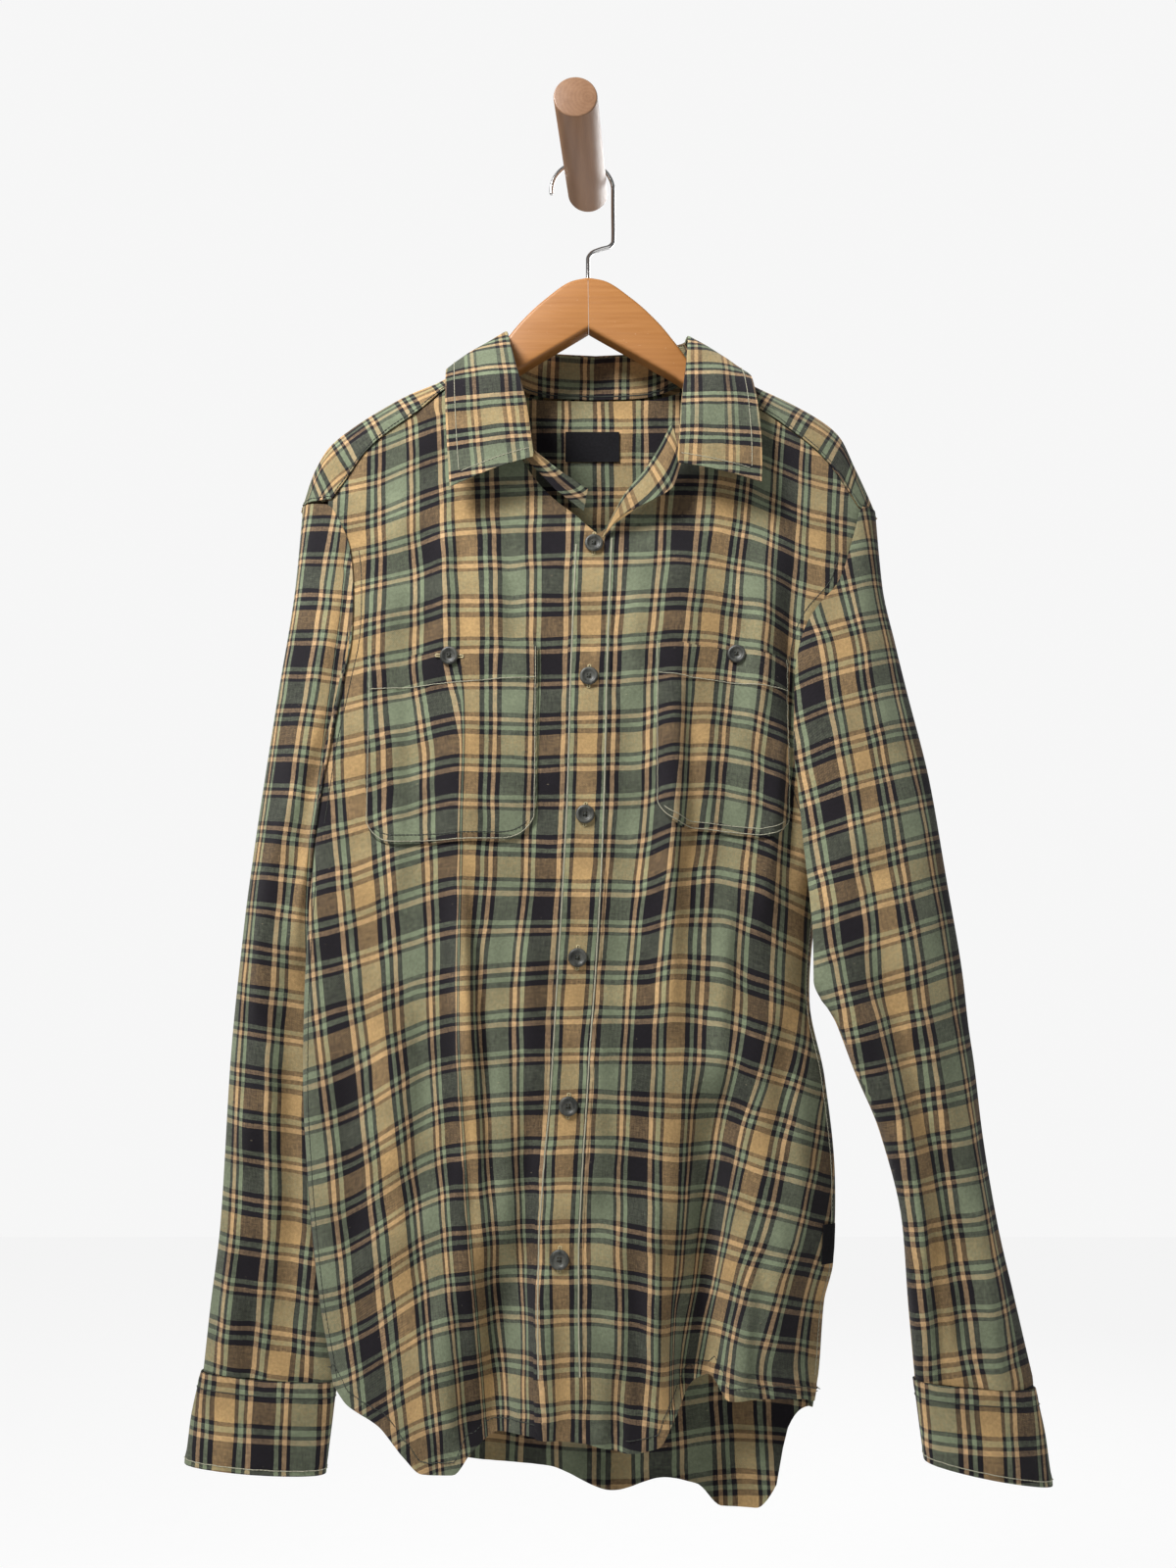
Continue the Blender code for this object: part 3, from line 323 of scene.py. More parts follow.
# %% [markdown]
# ### Collar, placket top and what lies on the panels
# The collar is a stand and a fall joined at the roll line, drawn through nine stations from the middle of the back
# to the front. The wearer's left end of the stand is turned out with the top of the placket.

# %% Tables of the collar, pockets, labels, hanger and hook
# Half of the collar from the middle of the back to the fall's front end. Distances out are from the neck's
# middle. seam = where the stand is sewn on, roll = its top, edge = the outer edge of the fall,
# arch = how high the fall arches between the roll and the edge.
COLLAR = Table(
    "station seam_out seam_y seam_z roll_out roll_y roll_z edge_out edge_y edge_z arch",
    (0, 0, -20, -189, 0, -17, -152, 0, -9, -197, 2.5), (1, 34, -21, -188, 33, -19, -151, 42, -9, -201, 2.5),
    (2, 62, -26, -181.5, 59, -27, -149, 82, -10, -204, 3.5),
    (3, 79, -35, -168, 68.5, -37, -149.5, 102, -12, -198, 3.5),
    (4, 85, -47, -163.5, 70, -47, -149.5, 111, -38, -181, 2),
    (5, 86, -64, -169, 68.5, -63, -155, 112, -72, -188, 2), (6, 79, -81, -196, 62, -81, -186, 111, -89, -215, 2.5),
    (7, 68, -87, -228, 53, -90, -221, 109, -94, -251, 2.5), (8, 53, -90, -264, 47, -97, -261, 106, -97, -288, 2.5),
)
RIGHT_STAND_END = ((30, -92, -290, 27, -98, -278), (9, -90, -306, 6, -95, -291))
LEFT_SPREAD = 13.0  # how much wider the fall's front end stands on the wearer's left
LEFT_DROP = 5.0  # how much lower the collar lies beside the neck on the wearer's left

# The top of the placket with the stand's end, turned out: fold line, then free edge.
TURNED_OUT = Table(
    "station fold_x fold_y fold_z free_x free_y free_z",
    (0, 13, -87.45, -317.5, 10.4, -87.55, -325.2), (1, 27, -89.5, -292, 24, -92, -310),
    (2, 42, -92, -274, 47, -95.5, -299), (3, 52, -94, -258, 62, -97, -289), (4, 61, -95, -240, 67.3, -96, -272),
)

# Pocket outlines: sides, the two ends of the top edge, the two ends of the bottom.
POCKETS = {
    "right": {"inner": -36.0, "outer": -157.0, "top": (-404.0, -413.0), "bottom": (-545.0, -549.0)},
    "left": {"inner": 48.0, "outer": 143.0, "top": (-402.0, -412.0), "bottom": (-536.0, -545.0)},
}
POCKET_CORNER = 24.0  # radius of the lower corners
POCKET_BAND = 24.0  # height of the folded band at the top
POCKET_BUTTONS = {"right": (-98.6, -412.7), "left": (107.0, -410.5)}  # x and height

LABEL_WALL = 0.6
NECK_LABEL = {"sides": (-17.6, 24.4), "ends": (-241.0, -216.5)}
SIDE_LABEL = {"in": 3.0, "width": 9.0, "ends": (-832.0, -806.0)}

# Outline of the hanger's arm: distance out from its middle, top and underside.
HANGER_ARM = Table(
    "out top under",
    (0, -101, -144), (12, -103.5, -151.5), (34, -119, -165), (53, -138, -177), (67, -156.5, -186), (80, -176, -197),
    (95, -191.5, -209), (110, -204.5, -221), (132, -216, -236), (155, -230, -249), (174, -242, -261),
    (188, -253, -269),
)
HANGER_BEVEL = 3.0

# The hook's wire below its bow: x, depth, height.
HOOK_SHANK = (
    (20.3, -14.5, -22), (20.3, -20, -42), (20.0, -27, -58), (17.0, -30, -64), (10.0, -33, -68), (3.0, -36, -73),
    (0.0, -39, -80), (0.0, -43, -95), (0.0, -44, -100.3),
)

# %% [markdown]
# ### Creases by hand
# Each row is one soft ridge or trough: its two ends, how far it stands out, and how wide it is on either side, so a
# fold can be steep on one side and slack on the other. They are uneven on purpose: cloth is never combed. The hidden
# back has folds of its own, of the same kind.

# %% Tables of the finer folds
CREASE_DEPTH = 1.6  # how deep all of them are at once
CREASES_FROM = -298.0  # height under the yoke's front seam at which the panels start to crease
CREASES_OVER = 24.0  # drop over which the creases come in
FRONT_CREASES = (
    # top x, top z, low x, low z, depth, width to the left of the picture, width to the right
    (-91, -530, -69, -850, 4.5, 9, 5), (-82, -545, -60, -840, -5, 5, 7), (-82, -660, -74, -850, -4.5, 5, 9),
    (-86, -840, -80, -960, -5, 6, 8), (84, -750, 82, -930, -4.5, 14, 12), (127, -740, 124, -920, 5, 12, 10),
    (-118, -640, -108, -760, -3, 7, 10), (20, -880, 18, -975, -4, 7, 6), (-104, -300, -100, -420, 2.5, 9, 6),
    (-60, -300, -52, -430, -2.5, 8, 8), (-140, -420, -132, -640, 3, 8, 8), (-146, -600, -120, -800, 3, 12, 6),
    (-172, -640, -150, -900, -3, 8, 12), (-120, -760, -104, -900, -3, 8, 8), (-44, -560, -36, -760, 2.5, 9, 9),
    (-40, -700, -46, -930, -4, 8, 8), (-30, -820, -30, -960, 3.5, 7, 9), (36, -330, 30, -470, 2.5, 8, 10),
    (61, -420, 56, -700, 3, 8, 6), (72, -380, 70, -640, -3, 7, 9), (128, -330, 120, -470, 3.5, 9, 9),
    (151, -310, 140, -600, -6.5, 8, 8), (146, -430, 116, -640, 3, 7, 12), (100, -560, 84, -760, 3.5, 9, 7),
    (140, -650, 118, -860, -3.5, 10, 8), (152, -700, 134, -900, 3, 8, 9), (46, -760, 44, -930, 3, 9, 6),
    (30, -800, 36, -960, -3, 8, 8), (60, -830, 62, -930, -4, 6, 6), (110, -800, 100, -930, 4, 8, 6),
    (8, -640, 6, -800, 2, 10, 10),
)
BACK_CREASES = (
    (-148, -330, -140, -620, -3, 9, 9), (-96, -360, -92, -640, 3, 10, 8), (-84, -620, -96, -960, -3.5, 9, 9),
    (-30, -300, -26, -520, 4, 8, 8), (-18, -300, -14, -560, -4, 6, 7), (24, -300, 22, -560, 4, 7, 8),
    (34, -310, 32, -520, -3.5, 6, 8), (-10, -560, -30, -940, -3, 10, 12), (78, -330, 84, -700, 3.5, 10, 8),
    (66, -640, 70, -980, 3, 9, 9), (128, -360, 118, -640, 3, 9, 9), (132, -640, 120, -900, -3.5, 9, 9),
    (-140, -620, -146, -900, 3.5, 9, 11), (-60, -500, -66, -700, -2.5, 9, 8),
)
# The same for the sleeves, with places as shares of the turn round the tube.
CREASE_TWIST = 0.02  # how far a crease runs round the tube on its way down
SLEEVE_CREASES = {
    "right": (
        (0.10, -330, -520, 2.5, 0.03, 0.04), (0.22, -360, -560, -3, 0.04, 0.03),
        (0.33, -420, -640, 2.5, 0.04, 0.05), (0.14, -560, -760, -2.5, 0.03, 0.04),
        (0.24, -640, -860, 3, 0.03, 0.05), (0.36, -700, -900, 2.5, 0.04, 0.04), (0.12, -790, -915, 2.5, 0.03, 0.03),
        (0.20, -850, -925, -3, 0.025, 0.025), (0.60, -340, -560, -3, 0.04, 0.05), (0.70, -520, -800, 3, 0.05, 0.04),
        (0.88, -380, -700, 3, 0.04, 0.04), (0.64, -850, -925, -3.5, 0.02, 0.02),
        (0.80, -850, -925, -3.5, 0.02, 0.02),
    ),
    "left": (
        (0.10, -340, -520, 2.5, 0.03, 0.04), (0.20, -330, -470, -3.5, 0.03, 0.04),
        (0.36, -400, -560, 3, 0.04, 0.03), (0.42, -480, -700, -3, 0.04, 0.04), (0.20, -560, -780, 3, 0.04, 0.03),
        (0.36, -660, -860, 3, 0.03, 0.05), (0.33, -760, -925, -4, 0.03, 0.03), (0.18, -820, -925, 2.5, 0.04, 0.03),
        (0.07, -700, -900, -2, 0.03, 0.04), (0.60, -340, -560, -3, 0.05, 0.04), (0.68, -520, -800, 3, 0.04, 0.05),
        (0.88, -380, -700, 3, 0.04, 0.04), (0.64, -850, -925, -3.5, 0.02, 0.02),
        (0.80, -850, -925, -3.5, 0.02, 0.02),
    ),
}


def creases_at(across, z, rows):
    """How far the finer folds push the cloth out. Each side of a fold has its own width."""
    out = np.zeros(np.broadcast(across, z).shape)
    for top_x, top_z, low_x, low_z, depth, before, after in rows:
        along = np.clip((top_z - z) / (top_z - low_z), 0, 1)
        away = across - between(top_x, low_x, along)
        width = np.where(away < 0, before, after)
        length = top_z - low_z
        fade = ease((top_z - z) / (0.35 * length)) * ease((z - low_z) / (0.3 * length))
        out = out + CREASE_DEPTH * depth * fade * np.exp(-((away / width) ** 2))
    return out


# %% [markdown]
# ### The body's surface
# Every panel, pocket, strip and button lies on this one surface, moved out by its own lift. That is how a real
# shirt is layered too: each piece takes the form of what is under it.

# %% Surface of the body
def folds_at(x, z, folds):
    """How far the large folds push the cloth out at a place."""
    out = np.zeros(np.broadcast(x, z).shape)
    for top_x, top_z, low_x, low_z, depth, width in folds:
        along = np.clip((top_z - z) / (top_z - low_z), 0, 1)
        away = x - between(top_x, low_x, along)
        fade = ease((top_z - z) / FOLD_FADE) * ease((z - low_z) / FOLD_FADE)
        out = out + depth * fade * np.exp(-((away / width) ** 2))
    return out


def body_depth(x, z, side):
    """Depth of the body's outer face. side is -1 on the front and 1 on the back."""
    right, left = SECTIONS("right", z), SECTIONS("left", z)
    across = np.clip(2 * (x - right) / (left - right) - 1, -EDGE, EDGE)
    edge = SECTIONS("right_edge", z) * (1 - across) / 2 + SECTIONS("left_edge", z) * (1 + across) / 2
    flat = SECTIONS("front" if side < 0 else "back", z)
    lens = (1 - np.abs(across) ** LENS) ** (1 / LENS)
    drop = np.clip((RIDGE("height", x) - z) / SHOULDER_ARCH, 0, 1)
    arch = np.sqrt(1 - (1 - drop) ** 2)
    folds = folds_at(x, z, FRONT_FOLDS if side < 0 else BACK_FOLDS)
    below_yoke = ease((CREASES_FROM - z) / CREASES_OVER)
    folds = folds + below_yoke * creases_at(x, z, FRONT_CREASES if side < 0 else BACK_CREASES)
    rough = 1.1 * unevenness(x, z, 31, 83, 3 + side) + 0.45 * unevenness(x, z, 13, 29, 11 + side)
    return edge + (flat - edge + side * (folds + below_yoke * rough)) * lens * arch


def body_points(x, z, side, lift):
    """Points on the body, moved out from it by the lift."""
    x, z = np.broadcast_arrays(np.asarray(x, float), np.asarray(z, float))
    depth = body_depth(x, z, side)
    step = 1.5
    slope_x = (body_depth(x + step, z, side) - body_depth(x - step, z, side)) / (2 * step)
    slope_z = (body_depth(x, z + step, side) - body_depth(x, z - step, side)) / (2 * step)
    out = unit(np.stack([-slope_x, np.ones_like(x), -slope_z], axis=-1) * side)
    return np.stack([x, depth, z], axis=-1) + out * np.broadcast_to(lift, x.shape)[..., None]


def button_line(z):
    return BUTTON_LINE("x", z)


def side_line(z, wearer, face):
    """The panel's side edge at a height: on under the sleeve at the armhole, then down the side seam."""
    middle = (SECTIONS("right", z) + SECTIONS("left", z)) / 2
    half = (SECTIONS("left", z) - SECTIONS("right", z)) / 2
    sign = WAY[wearer]
    seam = middle + sign * half * EDGE
    armhole = ARMHOLE(f"{wearer}_{face}", z) + sign * ARMHOLE_UNDER
    return np.where(z > UNDERARM, sign * np.minimum(sign * armhole, sign * seam), seam)


def pucker(along, away, seed, reach, size):
    """Small ripples beside a line of stitching, where the thread has drawn the cloth in.

    away is the distance from the line, reach how far out the ripples die away, and size their height.
    """
    ripple = np.sin(along / 1.5 + seed) + 0.8 * np.sin(along / 2.3 + 2 * seed) + 0.5 * np.sin(along / 4.1 + 3 * seed)
    return size * ripple * np.exp(-((away / reach) ** 2))


print("body depth at the chest:", round(float(body_depth(0.0, -450.0, -1)), 1), "mm")

# %% [markdown]
# ### How the plaid lies on the form
# The warp is read along the width of the cloth, over every fold, between a few gold stripes whose places are known
# at each height. The weft droops a little away from the placket, as the cloth sinks under its weight. The result is
# two lengths in millimetres, which the pieces carry as their map.

# %% Grain of the cloth
# x of the gold warp stripes at each height. They are counted from the one down the placket.
WARP = Table(
    "height minus_two minus_one plus_one plus_two",
    (-180, -171, -101, 112, 176), (-300, -169.8, -94.7, 100.5, 168.6), (-390, -168.7, -89, 87.7, 163.1),
    (-480, -167, -88, 76.9, 156), (-570, -157.5, -88.6, 66.4, 148.8), (-660, -146.6, -88.9, 60, 141.6),
    (-750, -134.7, -84, 56.6, 115.8), (-840, -122.9, -76.5, 53.3, 92.4), (-990, -104, -64, 50, 62),
)
HIDDEN = 15.0  # cloth that the fold under the wearer's right pocket swallows
HIDDEN_FROM = -400.0  # height at which it starts to
HIDDEN_OVER = 90.0  # drop over which it comes to swallow all of it
HIDDEN_WIDTH = 4.0  # width of the fold, as it is seen
# Heights of the gold weft stripes on the placket, one repeat apart, upwards from the fourth below the pockets.
WEFT_ON_PLACKET = np.array([-1080, -992, -907, -822.2, -738.5, -652.4, -565.7, -477.2, -391, -297.9, -212, -126])
WEFT_ZERO = 6  # the stripe from which the others are counted
WEFT_READING = REPEAT * (np.arange(len(WEFT_ON_PLACKET)) - WEFT_ZERO)
# How far the weft lies below the placket's, at each height.
DROOP_AT = np.array([-260, -170, -88, 0, 35, 60, 88, 112, 140, 165, 240])
DROOP = Table(
    "height a b c d e f g h i j k",
    (-300, 34, 26.8, 3, 0, 0, 0, 0, 4, 15, 24, 34), (-391, 26, 15.5, 0, 0, -1.4, -3.5, -4.3, 0, 8.7, 19, 30),
    (-477, 26, 15, 0, 0, -2, -7.5, -9.5, -6, 5, 14, 30), (-566, 36, 20, -2, 0, 0, -7, -10.3, -6, 4, 12, 30),
    (-652, 46, 27, 4.7, 0, 0, -2.6, 0, 7, 15, 24, 40), (-738, 62, 42, 5.1, 0, 2, 4.5, 4.5, 11, 19, 27, 44),
    (-822, 66, 46, 5, 0, 5, 9.3, 11.8, 16, 22, 30, 48),
)
# Spacing of the net on which the grain is worked out, and its places.
NET_X, NET_Z = 1.5, 4.0
LATTICE_X = np.arange(-262.0, 263.0, NET_X)
LATTICE_Z = np.arange(-1010.0, -140.0, NET_Z)


def lattice_length(side):
    """Length of cloth over every fold of the front (-1) or the back (1), from the net's first column."""
    depth = body_depth(*np.meshgrid(LATTICE_X, LATTICE_Z, indexing="ij"), side)
    return np.concatenate([0 * depth[:1], np.cumsum(np.hypot(np.diff(depth, axis=0), NET_X), axis=0)])


def front_lattice():
    """Warp and weft readings over the whole front, on an even net."""
    length = lattice_length(-1)
    warp, droop = np.zeros_like(length), np.zeros_like(length)
    for row, height in enumerate(LATTICE_Z):
        gold = [WARP(name, height) for name in ("minus_two", "minus_one", "plus_one", "plus_two")]
        ridge = gold[1] - 1.0
        swallowed = HIDDEN * float(ease((HIDDEN_FROM - height) / HIDDEN_OVER))
        stripe_x = [gold[0], ridge, ridge + HIDDEN_WIDTH, float(button_line(height)), gold[2], gold[3]]
        reading = [-2 * REPEAT, -REPEAT - 5 - swallowed, -REPEAT - 1, 0, REPEAT, 2 * REPEAT]
        at = np.interp(stripe_x, LATTICE_X, length[:, row])
        warp[:, row] = np.interp(length[:, row], at, reading)
        before, after = length[:, row] < at[0], length[:, row] > at[-1]
        warp[before, row] = reading[0] + (length[before, row] - at[0])
        warp[after, row] = reading[-1] + (length[after, row] - at[-1])
        values = [float(DROOP(letter, height)) for letter in "abcdefghijk"]
        droop[:, row] = smooth(DROOP_AT, np.array(values), LATTICE_X)
    return warp, np.interp(LATTICE_Z + droop, WEFT_ON_PLACKET, WEFT_READING)


FRONT_WARP, FRONT_WEFT = front_lattice()


def read_lattice(lattice, x, z):
    """The lattice's value at any place, between its four neighbours."""
    across = np.clip((x - LATTICE_X[0]) / NET_X, 0, len(LATTICE_X) - 1.001)
    up = np.clip((z - LATTICE_Z[0]) / NET_Z, 0, len(LATTICE_Z) - 1.001)
    column, row = across.astype(int), up.astype(int)
    s, t = across - column, up - row
    low = lattice[column, row] * (1 - s) + lattice[column + 1, row] * s
    high = lattice[column, row + 1] * (1 - s) + lattice[column + 1, row + 1] * s
    return low * (1 - t) + high * t


def front_grain(x, z):
    x, z = np.broadcast_arrays(np.asarray(x, float), np.asarray(z, float))
    return np.stack([read_lattice(FRONT_WARP, x, z), read_lattice(FRONT_WEFT, x, z)], axis=-1)


def run_of(points, axis):
    """Length of cloth walked along the columns (0) or the rows (1) of a grid of points."""
    step = np.linalg.norm(np.diff(points, axis=axis), axis=-1)
    start = np.zeros_like(step[:1]) if axis == 0 else np.zeros_like(step[:, :1])
    return np.concatenate([start, np.cumsum(step, axis=axis)], axis=axis)


print("repeats across the chest:", round(float(np.ptp(FRONT_WARP[:, 100])) / REPEAT, 1))

# %% [markdown]
# ### The plaid's material
# The cloth is yarn-dyed: gold, green, charcoal, tan and pale green threads in one order, the same for warp and weft.
# Where they cross, the twill shows a little more warp than weft, which is how five yarns give some twenty shades.
# Two colour ramps hold the order of the stripes, the map places them, and a fine diagonal, slubs and a brushed nap
# finish it.

# %% Node helpers
def feed(tree, node, inputs):
    """Sets a node's inputs. Each is a number, a colour or another node's output."""
    for socket, value in dict(inputs).items():
        if isinstance(value, bpy.types.NodeSocket):
            tree.links.new(value, node.inputs[socket])
        else:
            node.inputs[socket].default_value = value


def new_material(name, roughness, metallic=0.0):
    material = bpy.data.materials.new(name)
    material.use_nodes = True
    shader = material.node_tree.nodes["Principled BSDF"]
    feed(material.node_tree, shader, {"Roughness": roughness, "Metallic": metallic})
    return material, material.node_tree, shader


def add_node(tree, kind, inputs=(), **settings):
    """A node with its settings and inputs."""
    node = tree.nodes.new(kind)
    for name, value in settings.items():
        setattr(node, name, value)
    feed(tree, node, inputs)
    return node


def maths(tree, operation, first, second=0.0):
    return add_node(tree, "ShaderNodeMath", {0: first, 1: second}, operation=operation).outputs[0]


def plus(tree, first, second):
    return maths(tree, "ADD", first, second)


def times(tree, first, second):
    return maths(tree, "MULTIPLY", first, second)


def object_place(tree):
    return add_node(tree, "ShaderNodeTexCoord").outputs["Object"]


def mixed(tree, share, first, second, blend="MIX"):
    inputs = {"Factor": share, 6: first, 7: second}  # 6 and 7 are the two colours
    return add_node(tree, "ShaderNodeMix", inputs, data_type="RGBA", blend_type=blend).outputs[2]


def colour_ramp(tree, value, stops, blend="LINEAR"):
    """A ramp through pairs of a position and a colour, in rising order."""
    ramp = add_node(tree, "ShaderNodeValToRGB", {"Fac": value})
    ramp.color_ramp.interpolation = blend
    elements = ramp.color_ramp.elements
    elements.remove(elements[1])
    for number, (position, colour) in enumerate(stops):
        stop = elements.new(position) if number else elements[0]
        stop.position = position
        stop.color = (*colour, 1)
    return ramp.outputs["Color"]


def noise(tree, place, scale, detail=2.0, rough=0.5):
    inputs = {"Vector": place, "Scale": scale, "Detail": detail, "Roughness": rough}
    return add_node(tree, "ShaderNodeTexNoise", inputs).outputs["Fac"]


def stretched(tree, place, scale):
    return add_node(tree, "ShaderNodeMapping", {"Vector": place, "Scale": scale}).outputs["Vector"]


def add_bump(tree, shader, height, distance, strength):
    inputs = {"Height": height, "Distance": distance, "Strength": strength}
    feed(tree, shader, {"Normal": add_node(tree, "ShaderNodeBump", inputs).outputs["Normal"]})


# %% Order of the yarns
# Their colours as a picture shows them, and the order and relative widths of the stripes in one repeat.
YARNS = {
    "gold": (0.72, 0.59, 0.405),
    "green": (0.470, 0.502, 0.410),
    "dark": (0.128, 0.115, 0.132),
    "tan": (0.785, 0.645, 0.480),
    "pale green": (0.525, 0.568, 0.455),
}
ORDER = (
    ("gold", 52.5), ("dark", 25), ("pale green", 22), ("dark", 22), ("tan", 22), ("dark", 24), ("green", 118),
    ("dark", 18), ("tan", 22), ("dark", 16), ("pale green", 22), ("dark", 112), ("tan", 24), ("dark", 18),
    ("pale green", 26), ("dark", 18), ("gold", 52.5),
)
WEFT_SHARE = 0.40  # of the face: the warp floats longer on the right side of a brushed twill
SHOWN = 2.2  # gamma at which the colours are stated
MIXING = 1.8  # gamma at which yarns that lie side by side mix to the eye
TWILL = 1.15  # mm from one diagonal to the next
TWILL_SHARE = 0.16  # how much the diagonal turns the mix towards one yarn
SLUB_SHARE = 0.55  # how much thick and thin places in the yarn do
STRAY = 0.0007  # metres by which single threads stray from a stripe's edge
DRIFT = 0.0022  # metres by which the stripes wander
FLECK = (0.75, 0.68, 0.52, 1)  # colour of the odd pale fleck


def stripe_ramp(tree, reading):
    total = sum(width for _, width in ORDER)
    stops, start = [], 0.0
    for yarn, width in ORDER:
        stops.append((start / total, [shade ** (SHOWN / MIXING) for shade in YARNS[yarn]]))
        start += width
    return colour_ramp(tree, reading, stops, "CONSTANT")


def make_plaid():
    """Both sets of stripes are laid out, mixed yarn by yarn, made uneven, and given their nap."""
    material, tree, shader = new_material("brushed plaid twill", 0.92)
    place = add_node(tree, "ShaderNodeUVMap", uv_map="cloth").outputs["UV"]
    parts = add_node(tree, "ShaderNodeSeparateXYZ", {"Vector": place})
    warp, weft = parts.outputs["X"], parts.outputs["Y"]
    fuzz = times(tree, maths(tree, "SUBTRACT", noise(tree, place, 900, 1.0), 0.5), STRAY)
    drift = times(tree, maths(tree, "SUBTRACT", noise(tree, place, 34, 1.0), 0.5), DRIFT)
    colours = []
    for reading in (warp, weft):
        moved = plus(tree, plus(tree, reading, fuzz), drift)
        share = maths(tree, "FRACT", times(tree, moved, 1000 / REPEAT))
        colours.append(stripe_ramp(tree, share))
    diagonal = times(tree, plus(tree, warp, weft), 2000 * math.pi / TWILL)
    twill = maths(tree, "SINE", diagonal)
    slub_warp = noise(tree, stretched(tree, place, (2600, 210, 1)), 1.0, 2.0)
    slub_weft = noise(tree, stretched(tree, place, (210, 2600, 1)), 1.0, 2.0)
    thick_warp = noise(tree, stretched(tree, place, (620, 70, 1)), 1.0, 2.0, 0.6)
    thick_weft = noise(tree, stretched(tree, place, (70, 620, 1)), 1.0, 2.0, 0.6)
    slubs = maths(tree, "SUBTRACT", slub_warp, slub_weft)
    thick = maths(tree, "SUBTRACT", thick_warp, thick_weft)
    slubs = plus(tree, slubs, times(tree, thick, 0.6))
    slubs = times(tree, slubs, SLUB_SHARE)
    turn = plus(tree, times(tree, twill, TWILL_SHARE), slubs)
    woven = mixed(tree, plus(tree, turn, WEFT_SHARE), colours[0], colours[1])
    heather = plus(tree, noise(tree, place, 420, 3.0, 0.7), noise(tree, place, 30, 2.0))
    lightness = plus(tree, times(tree, maths(tree, "SUBTRACT", heather, 1.0), 0.55), 1.0)
    cloudy = mixed(tree, 1.0, woven, lightness, "MULTIPLY")
    fleck = maths(tree, "GREATER_THAN", noise(tree, stretched(tree, place, (300, 700, 1)), 1.0, 0.0), 0.855)
    flecked = mixed(tree, times(tree, fleck, 0.35), cloudy, FLECK)
    linear = add_node(tree, "ShaderNodeGamma", {"Color": flecked, "Gamma": MIXING}).outputs["Color"]
    finish = {"Sheen Weight": 0.08, "Sheen Roughness": 0.6, "Specular IOR Level": 0.15}
    feed(tree, shader, {"Base Color": linear, **finish})
    nap = times(tree, noise(tree, place, 1500, 3.0, 0.7), 1.3)
    relief = plus(tree, times(tree, twill, 0.35), nap)
    add_bump(tree, shader, relief, 0.00022, 0.8)
    return material


PLAID = make_plaid()
print("stripes in one repeat:", len(ORDER) - 1, "over", REPEAT, "mm")


# %% [markdown]
# ### Thread, buttons, labels, wood and steel
# The small things carry the picture up close: a two-tone cotton thread, buttons cut from a cloudy dark blank, black
# woven labels, a lacquered beech hanger with scuffs, an oiled peg with its end grain, and a bright wire hook.

# %% The other materials
def make_thread(name, colour):
    material, tree, shader = new_material(name, 0.75)
    place = object_place(tree)
    cloudy = noise(tree, place, 800, 2.0)
    shades = mixed(tree, cloudy, tuple(0.7 * c for c in colour) + (1,), (*colour, 1))
    feed(tree, shader, {"Base Color": shades})
    add_bump(tree, shader, noise(tree, place, 3000, 1.0), 0.0001, 0.6)
    return material


def make_button_material():
    material, tree, shader = new_material("dark horn-like resin", 0.42)
    place = object_place(tree)
    clouds = noise(tree, stretched(tree, place, (260, 260, 90)), 1.0, 4.0, 0.6)
    shades = colour_ramp(tree, clouds, ((0.36, (0.024, 0.025, 0.022)), (0.66, (0.105, 0.105, 0.090))))
    wear = noise(tree, place, 900, 3.0)
    feed(tree, shader, {"Base Color": shades, "Roughness": plus(tree, times(tree, wear, 0.25), 0.3)})
    add_bump(tree, shader, wear, 0.00004, 0.5)
    return material


def make_label_material():
    material, tree, shader = new_material("black woven label", 0.85)
    feed(tree, shader, {"Specular IOR Level": 0.2})
    place = add_node(tree, "ShaderNodeUVMap", uv_map="cloth").outputs["UV"]
    parts = add_node(tree, "ShaderNodeSeparateXYZ", {"Vector": place})
    ribs = maths(tree, "SINE", times(tree, parts.outputs["Y"], 2 * math.pi / 0.0006))
    ends = maths(tree, "SINE", times(tree, parts.outputs["X"], 2 * math.pi / 0.0005))
    weave = times(tree, ribs, ends)
    shade = plus(tree, times(tree, weave, 0.2), noise(tree, place, 500, 2.0))
    feed(tree, shader, {"Base Color": mixed(tree, shade, (0.003, 0.003, 0.004, 1), (0.014, 0.013, 0.016, 1))})
    add_bump(tree, shader, weave, 0.00008, 0.7)
    return material


